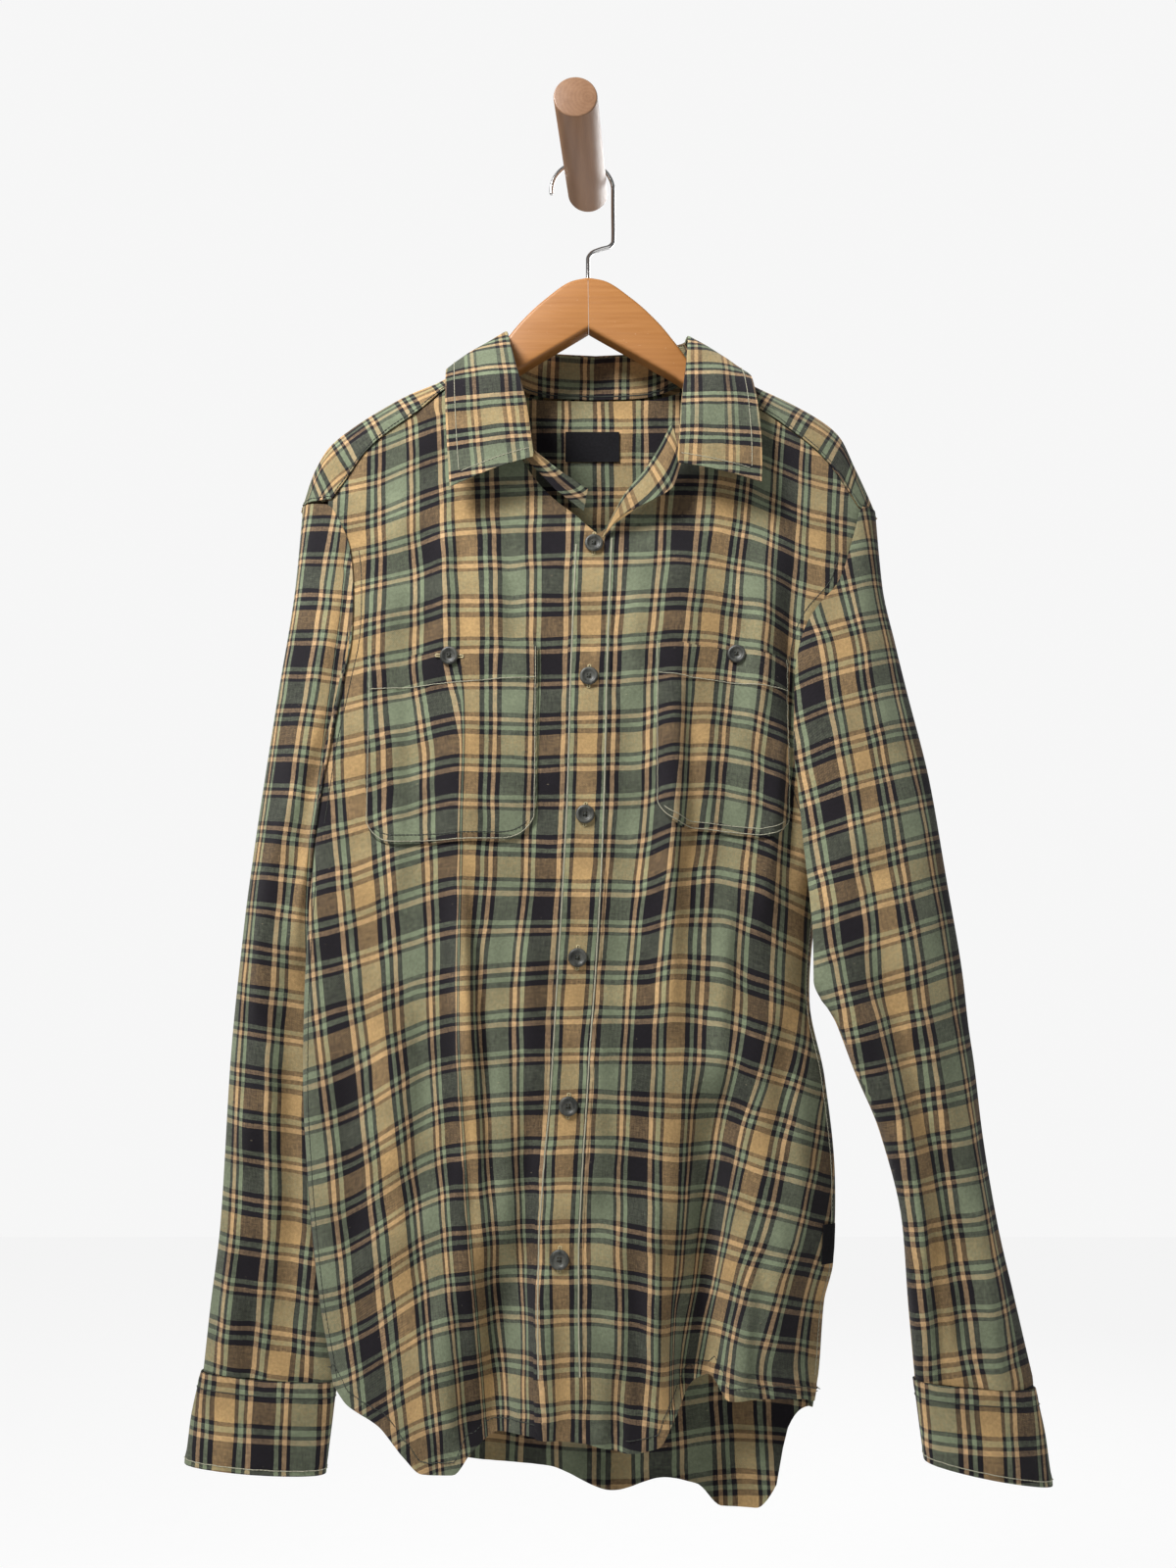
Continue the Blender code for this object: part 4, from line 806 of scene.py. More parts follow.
def make_wood(name, dark, light, along, ring, scuffs):
    """Wood with its grain along one axis: long streaks, growth rings across them, pores and pale scuffs."""
    material, tree, shader = new_material(name, 0.38)
    place = object_place(tree)
    long_scale = tuple(9 if axis == along else 120 for axis in "xyz")
    pore_scale = tuple(60 if axis == along else 1400 for axis in "xyz")
    streaks = noise(tree, stretched(tree, place, long_scale), 1.0, 4.0, 0.6)
    warped = times(tree, noise(tree, place, 22, 2.0), 5.0)
    parts = add_node(tree, "ShaderNodeSeparateXYZ", {"Vector": place})
    squares = [maths(tree, "POWER", parts.outputs[axis.upper()], 2.0) for axis in "xyz" if axis != along]
    radius = maths(tree, "SQRT", plus(tree, *squares))
    rings = maths(tree, "SINE", plus(tree, times(tree, radius, 2 * math.pi / ring), warped))
    figure = plus(tree, times(tree, streaks, 0.8), times(tree, rings, 0.07))
    pores = noise(tree, stretched(tree, place, pore_scale), 1.0, 2.0)
    figure = plus(tree, figure, times(tree, maths(tree, "SUBTRACT", pores, 0.5), 0.35))
    base = mixed(tree, figure, dark, light)
    marks = noise(tree, stretched(tree, place, (900, 200, 420)), 1.0, 1.0)
    scuffed = times(tree, maths(tree, "GREATER_THAN", marks, 0.78), scuffs)
    coloured = mixed(tree, scuffed, base, (0.85, 0.68, 0.5, 1))
    feed(tree, shader, {"Base Color": coloured})
    gloss = plus(tree, times(tree, pores, 0.25), 0.28)
    feed(tree, shader, {"Roughness": gloss})
    add_bump(tree, shader, plus(tree, pores, times(tree, streaks, 0.5)), 0.00012, 0.5)
    return material


def make_steel():
    material, tree, shader = new_material("bright wire", 0.16, 1.0)
    place = object_place(tree)
    drawn = noise(tree, place, 700, 3.0)
    feed(tree, shader, {"Base Color": mixed(tree, drawn, (0.55, 0.54, 0.53, 1), (0.83, 0.82, 0.81, 1))})
    feed(tree, shader, {"Roughness": plus(tree, times(tree, drawn, 0.16), 0.08)})
    return material


PALE_THREAD = make_thread("khaki thread", (0.52, 0.50, 0.37))
CREAM_THREAD = make_thread("cream thread", (0.72, 0.62, 0.36))
DARK_THREAD = make_thread("dark thread", (0.05, 0.055, 0.045))
BUTTON = make_button_material()
LABEL = make_label_material()
HANGER_WOOD = make_wood("lacquered beech", (0.34, 0.135, 0.034, 1), (0.50, 0.225, 0.066, 1), "x", 0.004, 0.45)
PEG_WOOD = make_wood("oiled peg wood", (0.20, 0.10, 0.052, 1), (0.38, 0.215, 0.12, 1), "y", 0.0028, 0.1)
STEEL = make_steel()
print("materials:", len(bpy.data.materials))

# %% [markdown]
# ### Cutting and sewing a piece
# A cut piece is a flat grid of cloth, so each one starts as a grid whose points are then laid on the form. Its wall
# goes inwards, so the outside keeps its shape. Each piece works out the width it was cut to, but nothing uses it. A
# shell that came out much larger than its flat piece would be stretched rubber and not cotton.

# %% Cloth and thread builders
def add_object(name, data):
    """An object at the origin, in the scene."""
    thing = bpy.data.objects.new(name, data)
    bpy.context.scene.collection.objects.link(thing)
    return thing


def mesh_of(name, shape):
    """A mesh with the shape of a bmesh, which is used up."""
    mesh = bpy.data.meshes.new(name)
    shape.to_mesh(mesh)
    shape.free()
    return mesh


def places_in(mesh):
    """Where the mesh's vertices are, one row each."""
    flat = np.empty(len(mesh.vertices) * 3)
    mesh.vertices.foreach_get("co", flat)
    return flat.reshape(-1, 3)


def lay_grid(name, points, grain=None, tube=False):
    """A mesh of a grid laid on points, one per crossing, with the grain as its map."""
    columns, rows = points.shape[:2]
    sheet = bmesh.new()
    bmesh.ops.create_grid(sheet, x_segments=columns - 1, y_segments=rows - 1, size=0.5)
    mesh = mesh_of(name, sheet)
    flat = places_in(mesh)
    column = np.rint((flat[:, 0] + 0.5) * (columns - 1)).astype(int)
    row = np.rint((flat[:, 1] + 0.5) * (rows - 1)).astype(int)
    mesh.vertices.foreach_set("co", (points[column, row] * MM).ravel())
    if grain is not None:
        corner = np.empty(len(mesh.loops), np.int32)
        mesh.loops.foreach_get("vertex_index", corner)
        layer = mesh.uv_layers.new(name="cloth")
        layer.data.foreach_set("uv", (grain[column, row][corner] * MM).ravel())
    if tube:
        shape = bmesh.new()
        shape.from_mesh(mesh)
        bmesh.ops.remove_doubles(shape, verts=shape.verts, dist=1e-6)
        shape.to_mesh(mesh)
        shape.free()
    return mesh


def finish_piece(name, mesh, material, replaces=()):
    piece = add_object(name, mesh)
    mesh.materials.append(material)
    mesh.shade_smooth()
    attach(piece, "root")
    if replaces:
        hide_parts(*replaces)
    return piece


def add_cloth(
    name, points, outside, grain, replaces, wall=WALL, tube=False, material=None, width=None
):
    """One cut piece as a thin shell. outside is a direction out of its middle. width, the cut width if stated, is not
    used.
    """
    mesh = lay_grid(name, points, grain, tube)
    shape = bmesh.new()
    shape.from_mesh(mesh)
    shape.normal_update()
    middle = Vector(points[points.shape[0] // 2, points.shape[1] // 2] * MM)
    near = min(shape.faces, key=lambda face: (face.calc_center_median() - middle).length_squared)
    if near.normal.dot(Vector(outside)) < 0:
        bmesh.ops.reverse_faces(shape, faces=shape.faces)
    for edge in shape.edges:
        edge.smooth = not edge.is_boundary
    area = sum(face.calc_area() for face in shape.faces)
    shape.to_mesh(mesh)
    shape.free()
    piece = finish_piece(name, mesh, material or PLAID, replaces)
    shell = piece.modifiers.new("cloth wall", "SOLIDIFY")
    shell.thickness = wall * MM
    shell.offset = -1
    shell.use_quality_normals = True
    width = (width or float(run_of(points, 0)[-1].max())) * MM
    return piece


def thread_tube(path, outs, pitch=STITCH, radius=THREAD, wave=0.3, lift=0.12):
    """A thread that dives into the cloth once a stitch, as a closed tube of four sides."""
    walked = walk(path)
    steps = max(4, int(round(walked[-1] / pitch * 4)))
    at = np.linspace(0, walked[-1], steps + 1)
    out = unit(path_at(outs, walked, at))
    centre = path_at(path, walked, at) + out * (lift + wave * np.cos(at / pitch * 2 * math.pi))[:, None]
    across = unit(np.cross(out, np.gradient(centre, axis=0)))
    angle = np.linspace(0, 2 * math.pi, 5)[None, :, None]
    size = np.full((steps + 1, 1, 1), radius)
    size[0] = size[-1] = 0
    return centre[:, None] + size * (np.cos(angle) * out[:, None] + np.sin(angle) * across[:, None])


def add_threads(name, tubes, material):
    """Several threads joined into one piece."""
    joined = bmesh.new()
    for points in tubes:
        mesh = lay_grid(name, points, tube=True)
        joined.from_mesh(mesh)
        bpy.data.meshes.remove(mesh)
    bmesh.ops.recalc_face_normals(joined, faces=joined.faces)
    mesh = mesh_of(name, joined)
    print(f"{name}: {len(tubes)} rows, {len(mesh.polygons)} faces")
    return finish_piece(name, mesh, material)


def grid_outs(points, outside):
    """Directions out of a grid of points."""
    out = np.cross(np.gradient(points, axis=0), np.gradient(points, axis=1))
    out /= np.maximum(np.linalg.norm(out, axis=-1, keepdims=True), 1e-9)
    middle = out[points.shape[0] // 2, points.shape[1] // 2]
    return out if middle @ np.array(outside, float) > 0 else -out


def body_row(x, z, side, lift):
    """A path on the body for a row of stitches, and the directions out along it."""
    near, far = body_points(x, z, side, lift), body_points(x, z, side, lift + 1)
    return near, far - near


# %% [markdown]
# ### Peg, hook and hanger
# The peg is a turned dowel with a broken edge. The hook is one bent wire: a bow over the peg and a shank that leans
# forward into the hanger. The hanger is two arms sawn to a curve, rounded on a router and joined in a mitre.

# %% Wooden peg
def make_peg():
    peg = bmesh.new()
    bmesh.ops.create_cone(peg, cap_ends=True, segments=72, radius1=PEG_RADIUS, radius2=PEG_RADIUS, depth=PEG_LENGTH)
    rims = [edge for edge in peg.edges if abs(edge.verts[0].co.z - edge.verts[1].co.z) < 1e-3]
    bmesh.ops.bevel(peg, geom=rims, offset=PEG_BEVEL, segments=3, profile=0.5, affect="EDGES", material=-1)
    for vertex in peg.verts:
        out = vertex.co.z + PEG_LENGTH / 2
        lean = PEG_LEAN * out / PEG_LENGTH
        vertex.co = Vector((vertex.co.x + lean, -out, vertex.co.y)) * MM
    mesh = mesh_of("wooden_peg", peg)
    piece = finish_piece("wooden_peg", mesh, PEG_WOOD, ["wall_peg"])
    mesh.set_sharp_from_angle(angle=math.radians(50))
    return piece


make_peg()


# %% Wire hook
def make_hook():
    """A round wire along the bow and the shank, with a rounded tip."""
    room = HOOK_BOW - HOOK_WIRE - PEG_RADIUS - 2 * SEAM
    peg_x = PEG_LEAN * -HOOK_DEPTH / PEG_LENGTH
    middle_z = -math.sqrt(room**2 - (HOOK_MIDDLE - peg_x) ** 2)
    bow = [
        (HOOK_MIDDLE + HOOK_BOW * math.cos(angle), HOOK_DEPTH, middle_z + HOOK_BOW * math.sin(angle))
        for angle in np.linspace(math.radians(HOOK_TIP), 0, 40)
    ]
    route = np.array(bow + list(HOOK_SHANK), float)
    walked = walk(route)
    at = np.linspace(0, walked[-1], 260)
    line = np.stack([smooth(walked, route[:, k], at) for k in range(3)], axis=-1)
    along = unit(np.gradient(line, axis=0))
    side = unit(np.cross(along, np.array([0.0, 1.0, 0.35])))
    up = np.cross(along, side)
    from_tip = np.clip(at / HOOK_WIRE, 0, 1)
    size = HOOK_WIRE * np.sqrt(1 - (1 - from_tip) ** 2)
    size[-1] = 0
    angle = np.linspace(0, 2 * math.pi, 17)[None, :, None]
    rings = line[:, None] + size[:, None, None] * (np.cos(angle) * side[:, None] + np.sin(angle) * up[:, None])
    mesh = lay_grid("wire_hook", rings, tube=True)
    shape = bmesh.new()
    shape.from_mesh(mesh)
    bmesh.ops.recalc_face_normals(shape, faces=shape.faces)
    shape.to_mesh(mesh)
    shape.free()
    print("hook wire:", round(float(walked[-1])), "mm long")
    return finish_piece("wire_hook", mesh, STEEL, ["hanger_hook"])


make_hook()


# %% Hanger arms
def make_hanger():
    """Both arms in one mesh: an outline of each, drawn out to the wood's thickness, with its edges rounded over."""
    whole = bmesh.new()
    out = np.linspace(0, HANGER_REACH, 64)
    for sign in WAY.values():
        top = [(sign * max(x, HANGER_MITRE), z) for x, z in zip(out, HANGER_ARM("top", out))]
        under = [(sign * max(x, HANGER_MITRE), z) for x, z in zip(out, HANGER_ARM("under", out))]
        high, low = top[-1][1], under[-1][1]
        tip = [
            (sign * (HANGER_REACH + HANGER_TIP * math.cos(a)), (high + low) / 2 + (high - low) / 2 * math.sin(a))
            for a in np.linspace(1, -1, 9)[1:-1] * math.pi / 2
        ]
        arm = bmesh.new()
        corners = [arm.verts.new((x, HANGER_DEPTH - HANGER_THICKNESS / 2, z)) for x, z in top + tip + under[::-1]]
        grown = bmesh.ops.extrude_face_region(arm, geom=[arm.faces.new(corners)])
        moved = [part for part in grown["geom"] if isinstance(part, bmesh.types.BMVert)]
        bmesh.ops.translate(arm, verts=moved, vec=(0, HANGER_THICKNESS, 0))
        bmesh.ops.recalc_face_normals(arm, faces=arm.faces)
        rims = [
            edge for edge in arm.edges
            if abs(edge.verts[0].co.y - edge.verts[1].co.y) < 1 and max(abs(v.co.x) for v in edge.verts) > 1
        ]
        bmesh.ops.bevel(arm, geom=rims, offset=HANGER_BEVEL, segments=5, profile=0.5, affect="EDGES", material=-1)
        mesh = mesh_of("arm", arm)
        whole.from_mesh(mesh)
        bpy.data.meshes.remove(mesh)
    turn = Matrix.Rotation(math.radians(-HANGER_TILT), 3, "Y")
    bmesh.ops.rotate(whole, cent=(0, 0, HANGER_TOP), matrix=turn, verts=whole.verts)
    bmesh.ops.scale(whole, vec=(MM, MM, MM), verts=whole.verts)
    mesh = mesh_of("hanger_arms", whole)
    piece = finish_piece("hanger_arms", mesh, HANGER_WOOD, ["hanger_right_arm", "hanger_left_arm"])
    mesh.set_sharp_from_angle(angle=math.radians(35))
    return piece


make_hanger()

# %% [markdown]
# ### Fronts, placket and back
# The fronts reach from the placket to the side seams, under the sleeve's edge at the armhole. The left front laps
# over the right one. The hems are turned up and stitched, and the thread draws them into small ripples.

# %% Fronts
HEM_TURN = 8.0  # height of the stitching above the hem's edge
HEM_SEED = {"right": 1, "left": 2, "back": 3}  # which ripples each panel's hem has
BAND_SETTLES = 16.0  # width over which the left front settles beside the placket
ROUNDS = 60  # rounds in which an edge's x and height, which depend on each other, come to rest


def front_grid(wearer, columns, rows):
    """x and z over a front from its edge at the middle to its side, and the height above its hem."""
    share = np.linspace(0, 1, columns)[:, None]
    share = 0.7 * share + 0.3 * np.sin(share * math.pi / 2)

    def x_at(z):
        inner = button_line(z) + PLACKET_WIDTH * 0.45 if wearer == "right" else button_line(z) - PLACKET_WIDTH / 2
        return inner + (side_line(z, wearer, "front") - inner) * share

    low = np.full((columns, 1), -930.0)
    high = np.full((columns, 1), -270.0)
    for _ in range(ROUNDS):
        low = 0.5 * low + 0.5 * FRONT_HEM("height", x_at(low))
        out = WAY[wearer] * (x_at(high) - NECK_MIDDLE)
        high = 0.5 * high + 0.5 * (FRONT_TOP(wearer, out) - SEAM)
    share_up = np.linspace(0, 1, rows)[None, :]
    share_up = 0.85 * share_up + 0.15 * share_up**2
    z = between(low, high, share_up)
    return x_at(z), z, z - low


def hem_turn(table, x):
    """Height of the hem's stitching above its edge, more where the edge runs steeply."""
    slope = (table("height", x + 1.5) - table("height", x - 1.5)) / 3
    return HEM_TURN * np.minimum(np.sqrt(1 + slope**2), 1.8)


def hem_form(x, above, seed):
    """The turned hem stands a little proud, ends at its stitching and ripples."""
    turned = 0.55 * (1 - ease((above - HEM_TURN) / 2.5))
    return turned + pucker(x, above - HEM_TURN, seed, 6.0, 0.4)


def front_lift(wearer, x, z, above):
    """How far a front stands off the body. The left one lies over the right one along the placket."""
    past = (x - button_line(z) - PLACKET_WIDTH / 2) / BAND_SETTLES
    lap = LAP * (1 - ease(past)) if wearer == "left" else 0
    return lap + hem_form(x, above, HEM_SEED[wearer])


for wearer in WAY:
    x, z, above = front_grid(wearer, 84, 216)
    panel = body_points(x, z, -1, front_lift(wearer, x, z, above))
    add_cloth(f"{wearer}_front_panel", panel, (0, -1, 0), front_grain(x, z), [f"{wearer}_front"])


# %% Placket
def placket_ripple(x, z):
    """Between the buttons the strip ripples across, more so beside its stitching."""
    from_middle = np.abs(x - button_line(z)) / (PLACKET_WIDTH / 2)
    across = 0.35 * unevenness(x, z, 60, 11, 21) + 0.25 * unevenness(x, z, 40, 6.5, 22)
    return across * (0.5 + 0.5 * from_middle) + pucker(z, (1 - from_middle) * 14, 5, 5.0, 0.16)


def placket_lift(x, z):
    """How far the strip stands off the body. Its edges are rolled a little under."""
    share = (x - button_line(z)) / PLACKET_WIDTH
    return PLACKET_LIFT - 0.25 + placket_ripple(x, z) - 0.7 * np.abs(2 * share) ** 8


share = np.linspace(-0.5, 0.5, 20)[:, None]
low = FRONT_HEM("height", button_line(-945.0) + share * PLACKET_WIDTH) - 0.4
high = PLACKET_TOP + PLACKET_SLOPE * share
z = between(low, high, np.linspace(0, 1, 300)[None, :])
x = button_line(z) + share * PLACKET_WIDTH
strip = body_points(x, z, -1, placket_lift(x, z))
add_cloth("placket_strip", strip, (0, -1, 0), front_grain(x, z), ["placket"])

# %% Back
columns, rows = 132, 220
share = np.linspace(-1, 1, columns)[:, None]
share = 0.55 * share + 0.45 * np.sin(share * math.pi / 2)


def back_x(z):
    right, left = side_line(z, "right", "back"), side_line(z, "left", "back")
    return (right + left) / 2 + share * (left - right) / 2


low = np.full((columns, 1), -950.0)
for _ in range(ROUNDS):
    low = 0.5 * low + 0.5 * BACK_HEM("height", back_x(low))
high = YOKE_DROP - SEAM + 0 * low
z = between(low, high, np.linspace(0, 1, rows)[None, :])
x = back_x(z)
back = body_points(x, z, 1, hem_form(x, z - low, HEM_SEED["back"]))
BACK_GOLD = 18.0  # how far the middle of the back lies from a gold stripe
length = lattice_length(1)
back_warp = BACK_GOLD - (length - length[int((NECK_MIDDLE - LATTICE_X[0]) / NET_X)])
# The weft hangs in a slack wave near the hem, and is nowhere quite level.
sag = 6 * ease((-700 - z) / 250) * np.cos(x / 42) + 4 * unevenness(x, z, 120, 200, 31)
back_grain = np.stack([read_lattice(back_warp, x, z), z - WEFT_ON_PLACKET[WEFT_ZERO] + sag], axis=-1)
add_cloth("back_panel", back, (0, 1, 0), back_grain, ["back"])

# %% [markdown]
# ### Yoke
# Two layers of cloth sandwich the top of the fronts and the back. They pass over the shoulder line, which carries
# the shirt, and the check turns with the slope of the shoulder.

# %% Both layers of the yoke
YOKE_GRAIN = (27.6, -99.0)  # warp and weft reading at the neck's middle, on the outside
FACING_WEFT = 197.7  # height above which the facing's weft is counted, turned over


def arc_length(drop):
    """Distance along the cloth from the shoulder line down to a drop below it."""
    part = np.clip(drop / SHOULDER_ARCH, 0, 1)
    return SHOULDER_ARCH * np.arccos(1 - part) + np.maximum(drop - SHOULDER_ARCH, 0)


def finer(values, times):
    """The same values with evenly spaced ones put between them."""
    values = np.array(values, float)
    return np.interp(np.arange((len(values) - 1) * times + 1) / times, np.arange(len(values)), values)


def along_shoulder(x):
    """Length of cloth from the neck's middle out along the shoulder line, level inside the neck."""
    places = np.linspace(0, 230, 231)
    out = np.abs(x - NECK_MIDDLE)
    sides = []
    for sign in (-1, 1):
        height = RIDGE("height", NECK_MIDDLE + sign * np.maximum(places, 64))
        length = np.concatenate([[0], np.cumsum(np.hypot(np.diff(places), np.diff(height)))])
        sides.append(sign * np.interp(out, places, length))
    return np.where(x < NECK_MIDDLE, sides[0], sides[1])


def yoke_sheet(lift, rows, times):
    """Points and grain of the yoke from its front seam over the shoulder line to the back."""
    halves, grains = [], []
    turn_at = [YOKE_FRONT_OUT.index(edge) * times for edge in NECK_TURN]
    for wearer, side in (("right", -1), ("left", 1)):
        out = finer(YOKE_FRONT_OUT + (YOKE_TIPS[wearer] + ARMHOLE_UNDER,), times)[:, None]
        out_behind = finer(YOKE_BACK_OUT + (YOKE_TIPS[wearer] + ARMHOLE_UNDER,), times)[:, None]
        tucked = lift - 0.9 * ease((out - YOKE_TIPS[wearer] + 0.6) / 1.2)
        ridge = RIDGE("height", NECK_MIDDLE + side * out)
        front = -arc_length(ridge - np.minimum(FRONT_TOP(wearer, out) + SEAM, ridge - 1.5))
        neck = arc_length(ridge - BACK_NECK("height", out))
        first, last = NECK_TURN
        turning = np.clip((out - first) / (last - first), 0, 1)
        start = np.where(out < first, neck, between(neck[turn_at[0]], front[turn_at[1]], turning))
        start = np.where(out > last, front, start)
        ridge_behind = RIDGE("height", NECK_MIDDLE + side * out_behind)
        end = arc_length(np.maximum(ridge_behind - YOKE_BACK(wearer, out_behind), 1.5))
        part = np.linspace(0, 1, rows)[None, :]
        walked = between(start, end, part)
        x = NECK_MIDDLE + side * between(out, out_behind, part)
        quarter = SHOULDER_ARCH * math.pi / 2
        drop = np.where(
            np.abs(walked) < quarter,
            SHOULDER_ARCH * (1 - np.cos(np.abs(walked) / SHOULDER_ARCH)),
            SHOULDER_ARCH + np.abs(walked) - quarter,
        )
        z = RIDGE("height", x) - drop
        seam = pucker(out, walked - start, 6, 4.0, 0.25) * (walked < 0)
        points = np.where(
            (walked < 0)[..., None], body_points(x, z, -1, tucked + seam), body_points(x, z, 1, tucked + 0 * z)
        )
        halves.append(points)
        slope = 0.47 * ease((np.abs(x - NECK_MIDDLE) - 60) / 25)
        turned = np.where(walked < 0, drop * slope, 0) * side
        level = np.exp(-np.maximum(walked, 0) / 45)
        warp = -(x + (along_shoulder(x) + NECK_MIDDLE - x) * level + turned) + YOKE_GRAIN[0]
        aside = np.abs(x - NECK_MIDDLE)
        flat = RIDGE("height", NECK_MIDDLE + side * np.maximum(aside, 64))
        neck_height = RIDGE("height", NECK_MIDDLE + side * 64)
        middle = 1 - ease((aside - 90) / 70)
        levelled = RIDGE("height", x) - flat - (1 - level) * (neck_height - flat) * middle
        grains.append(np.stack([warp, np.where(walked > 0, levelled, 0) - walked + YOKE_GRAIN[1]], axis=-1))
    points = np.concatenate([halves[0][::-1], halves[1][1:]])
    return points, np.concatenate([grains[0][::-1], grains[1][1:]])


yoke, yoke_grain = yoke_sheet(CLOTH + SEAM, 72, 4)
add_cloth("yoke_outside", yoke, (0, 1, 0), yoke_grain, ["yoke"])
facing, facing_grain = yoke_sheet(-CLOTH - 2 * SEAM, 60, 3)
facing_grain = np.stack([YOKE_GRAIN[0] - facing[..., 0], facing[..., 2] + FACING_WEFT], axis=-1)
add_cloth("yoke_inside", facing, (0, 1, 0), facing_grain, ["yoke_facing"])

# %% [markdown]
# ### Sleeves
# A sleeve starts as a ring on the armhole and ends as a ring at the cuff's seam, with the underarm seam as the
# tube's join. Two small pleats take in the extra cloth above each cuff.

# %% Sleeve tubes
def along_path(points, shares):
    """Points at shares of the length of a path."""
    length = walk(points)
    return path_at(points, length, shares * length[-1])


def armhole_loop(wearer, turns):
    """The armhole from the tip of the shoulder (turn 0) down the front to the underarm (0.5) and up the back."""
    sign = WAY[wearer]
    tip_x, tip_z = SHOULDER_TIPS[wearer]
    halves = []
    for face, side in (("front", -1), ("back", 1)):
        z = np.concatenate([[-294.0], np.linspace(-308, UNDERARM + 0.5, 60)])
        x = ARMHOLE(f"{wearer}_{face}", z)
        across = np.linspace(0.12, 1, 5)[:-1]
        x = np.concatenate([tip_x + (x[0] - tip_x) * across, x])
        z = np.concatenate([tip_z + (z[0] - tip_z) * across + 0.8, z])
        path = body_points(x - sign * 0.5, z, side, CLOTH + 2.5 * SEAM)
        tip = np.array([[tip_x - sign * 0.2, SHOULDER_TIP_Y, tip_z + 1.6]])
        halves.append(np.concatenate([tip, path]))
    middle_tip = (halves[0][0] + halves[1][0]) / 2
    middle_low = (halves[0][-1] + halves[1][-1]) / 2
    for half in halves:
        half[0] = middle_tip
        half[-1] = middle_low
    front = along_path(halves[0], np.clip(turns * 2, 0, 1))
    back = along_path(halves[1], np.clip(2 - turns * 2, 0, 1))
    return np.where((turns <= 0.5)[..., None], front, back)


def sleeve_section(wearer, turns, z, wider=0.0, creased=True):
    """Points of the sleeve's tube at each turn and height."""
    table = SLEEVES[wearer]
    inner, outer = table("inner", z), table("outer", z)
    inner_y, outer_y = table("inner_y", z), table("outer_y", z)
    half = table("half", z) + wider
    angle = turns * 2 * math.pi
    reach = np.cos(angle)
    bulge = np.sign(np.sin(angle)) * np.abs(np.sin(angle)) ** 0.8
    for turn, top_z, low_z, depth, width in SLEEVE_FOLDS[wearer]:
        fade = ease((top_z - z) / FOLD_FADE) * ease((z - low_z) / FOLD_FADE)
        half = half + depth * fade * np.exp(-(((turns - turn) / width) ** 2))
    if creased:
        rows = [(turn, top, turn + CREASE_TWIST, low, *rest) for turn, top, low, *rest in SLEEVE_CREASES[wearer]]
        off_seam = np.sin(turns % 1 * math.pi * 2) ** 2
        rough = 1.3 * unevenness(turns * 260, z, 26, 62, 41) + 0.5 * unevenness(turns * 260, z, 12, 21, 42)
        half = half + creases_at(turns % 1, z, rows) + rough * off_seam
    x = (inner + outer) / 2 + (outer - inner) / 2 * reach * (1 + wider / 40)
    y = (inner_y + outer_y) / 2 + (outer_y - inner_y) / 2 * reach - half * bulge
    return np.stack([x, y, z + 0 * x], axis=-1)


def round_tube(sides, turns):
    """A size at each turn round the tube, from its values on the inner and the outer side."""
    inner, outer = sides
    return (inner + outer) / 2 + (outer - inner) / 2 * np.cos(turns * 2 * math.pi)


def sleeve_points(wearer, columns, rows):
    """The tube from the underarm seam up the back, over the outer fold and down the front to the seam again."""
    place = np.linspace(-0.5, 0.5, columns)[:, None]
    turns = np.where(place < 0, place + 1, place)
    part = np.linspace(0, 1, rows)[None, :]
    part = part * (0.8 + 0.2 * part)
    loop = armhole_loop(wearer, turns[:, 0])[:, None, :]
    start_z = loop[..., 2]
    z = between(start_z, round_tube(SLEEVE_END[wearer], turns), part)
    turns = turns + 0 * z
    leave = 1 - ease(part / SLEEVE_JOIN)
    shape = sleeve_section(wearer, turns, z)
    at_start = sleeve_section(wearer, turns, start_z + 0 * z)
    points = shape + (loop - at_start) * leave[..., None]
    points[-1] = points[0]
    return points


# Where a gold warp stripe runs on the front of each sleeve, as cloth walked from the outer fold, the height of a
# gold weft stripe, the x at which it has that height, and how far the weft leans at the shoulder and at the cuff.
SLEEVE_GRAIN = {"right": (60.4, -811.5, -236.0, -0.15, -0.15), "left": (71.0, -818.0, 261.0, 0.30, 0.11)}


def sleeve_grain(wearer, points):
    """Warp measured round the level section at each height, weft from the height."""
    from_outside, height, at_x, lean_high, lean_low = SLEEVE_GRAIN[wearer]
    middle = points.shape[0] // 2
    steps = np.linspace(0, 0.5, 60)[:, None]
    heights = np.linspace(-950, -280, 90)
    inwards = -WAY[wearer]
    walked = np.zeros(points.shape[:2])
    for half, turns in ((slice(middle, None), steps), (slice(None, middle), 1 - steps)):
        level = sleeve_section(wearer, turns % 1, heights[None, :], creased=False)
        around, across = run_of(level, 0), level[..., 0] * inwards
        across = np.maximum.accumulate(across, axis=0) + 1e-6 * np.arange(len(steps))[:, None]
        x, z = points[half, :, 0] * inwards, points[half, :, 2]
        up = np.clip((z - heights[0]) / (heights[1] - heights[0]), 0, len(heights) - 1.001)
        row = up.astype(int)
        near = np.zeros((len(heights),) + x.shape)
        for k in np.unique(np.concatenate([row, row + 1], axis=None)):
            near[k] = np.interp(x, across[:, k], around[:, k]) + np.maximum(x - across[-1, k], 0)
        grid = np.indices(x.shape)
        low, high = near[row, grid[0], grid[1]], near[row + 1, grid[0], grid[1]]
        walked[half] = between(low, high, up - row) * (1 if turns is steps else -1)
    warp = (walked - from_outside) if wearer == "right" else (from_outside - walked)
    x, z = points[..., 0], points[..., 2]
    lean = between(lean_low, lean_high, ease((z + 820) / 200))
    weft = z - lean * (x - at_x) - height
    return np.stack([warp, weft], axis=-1)


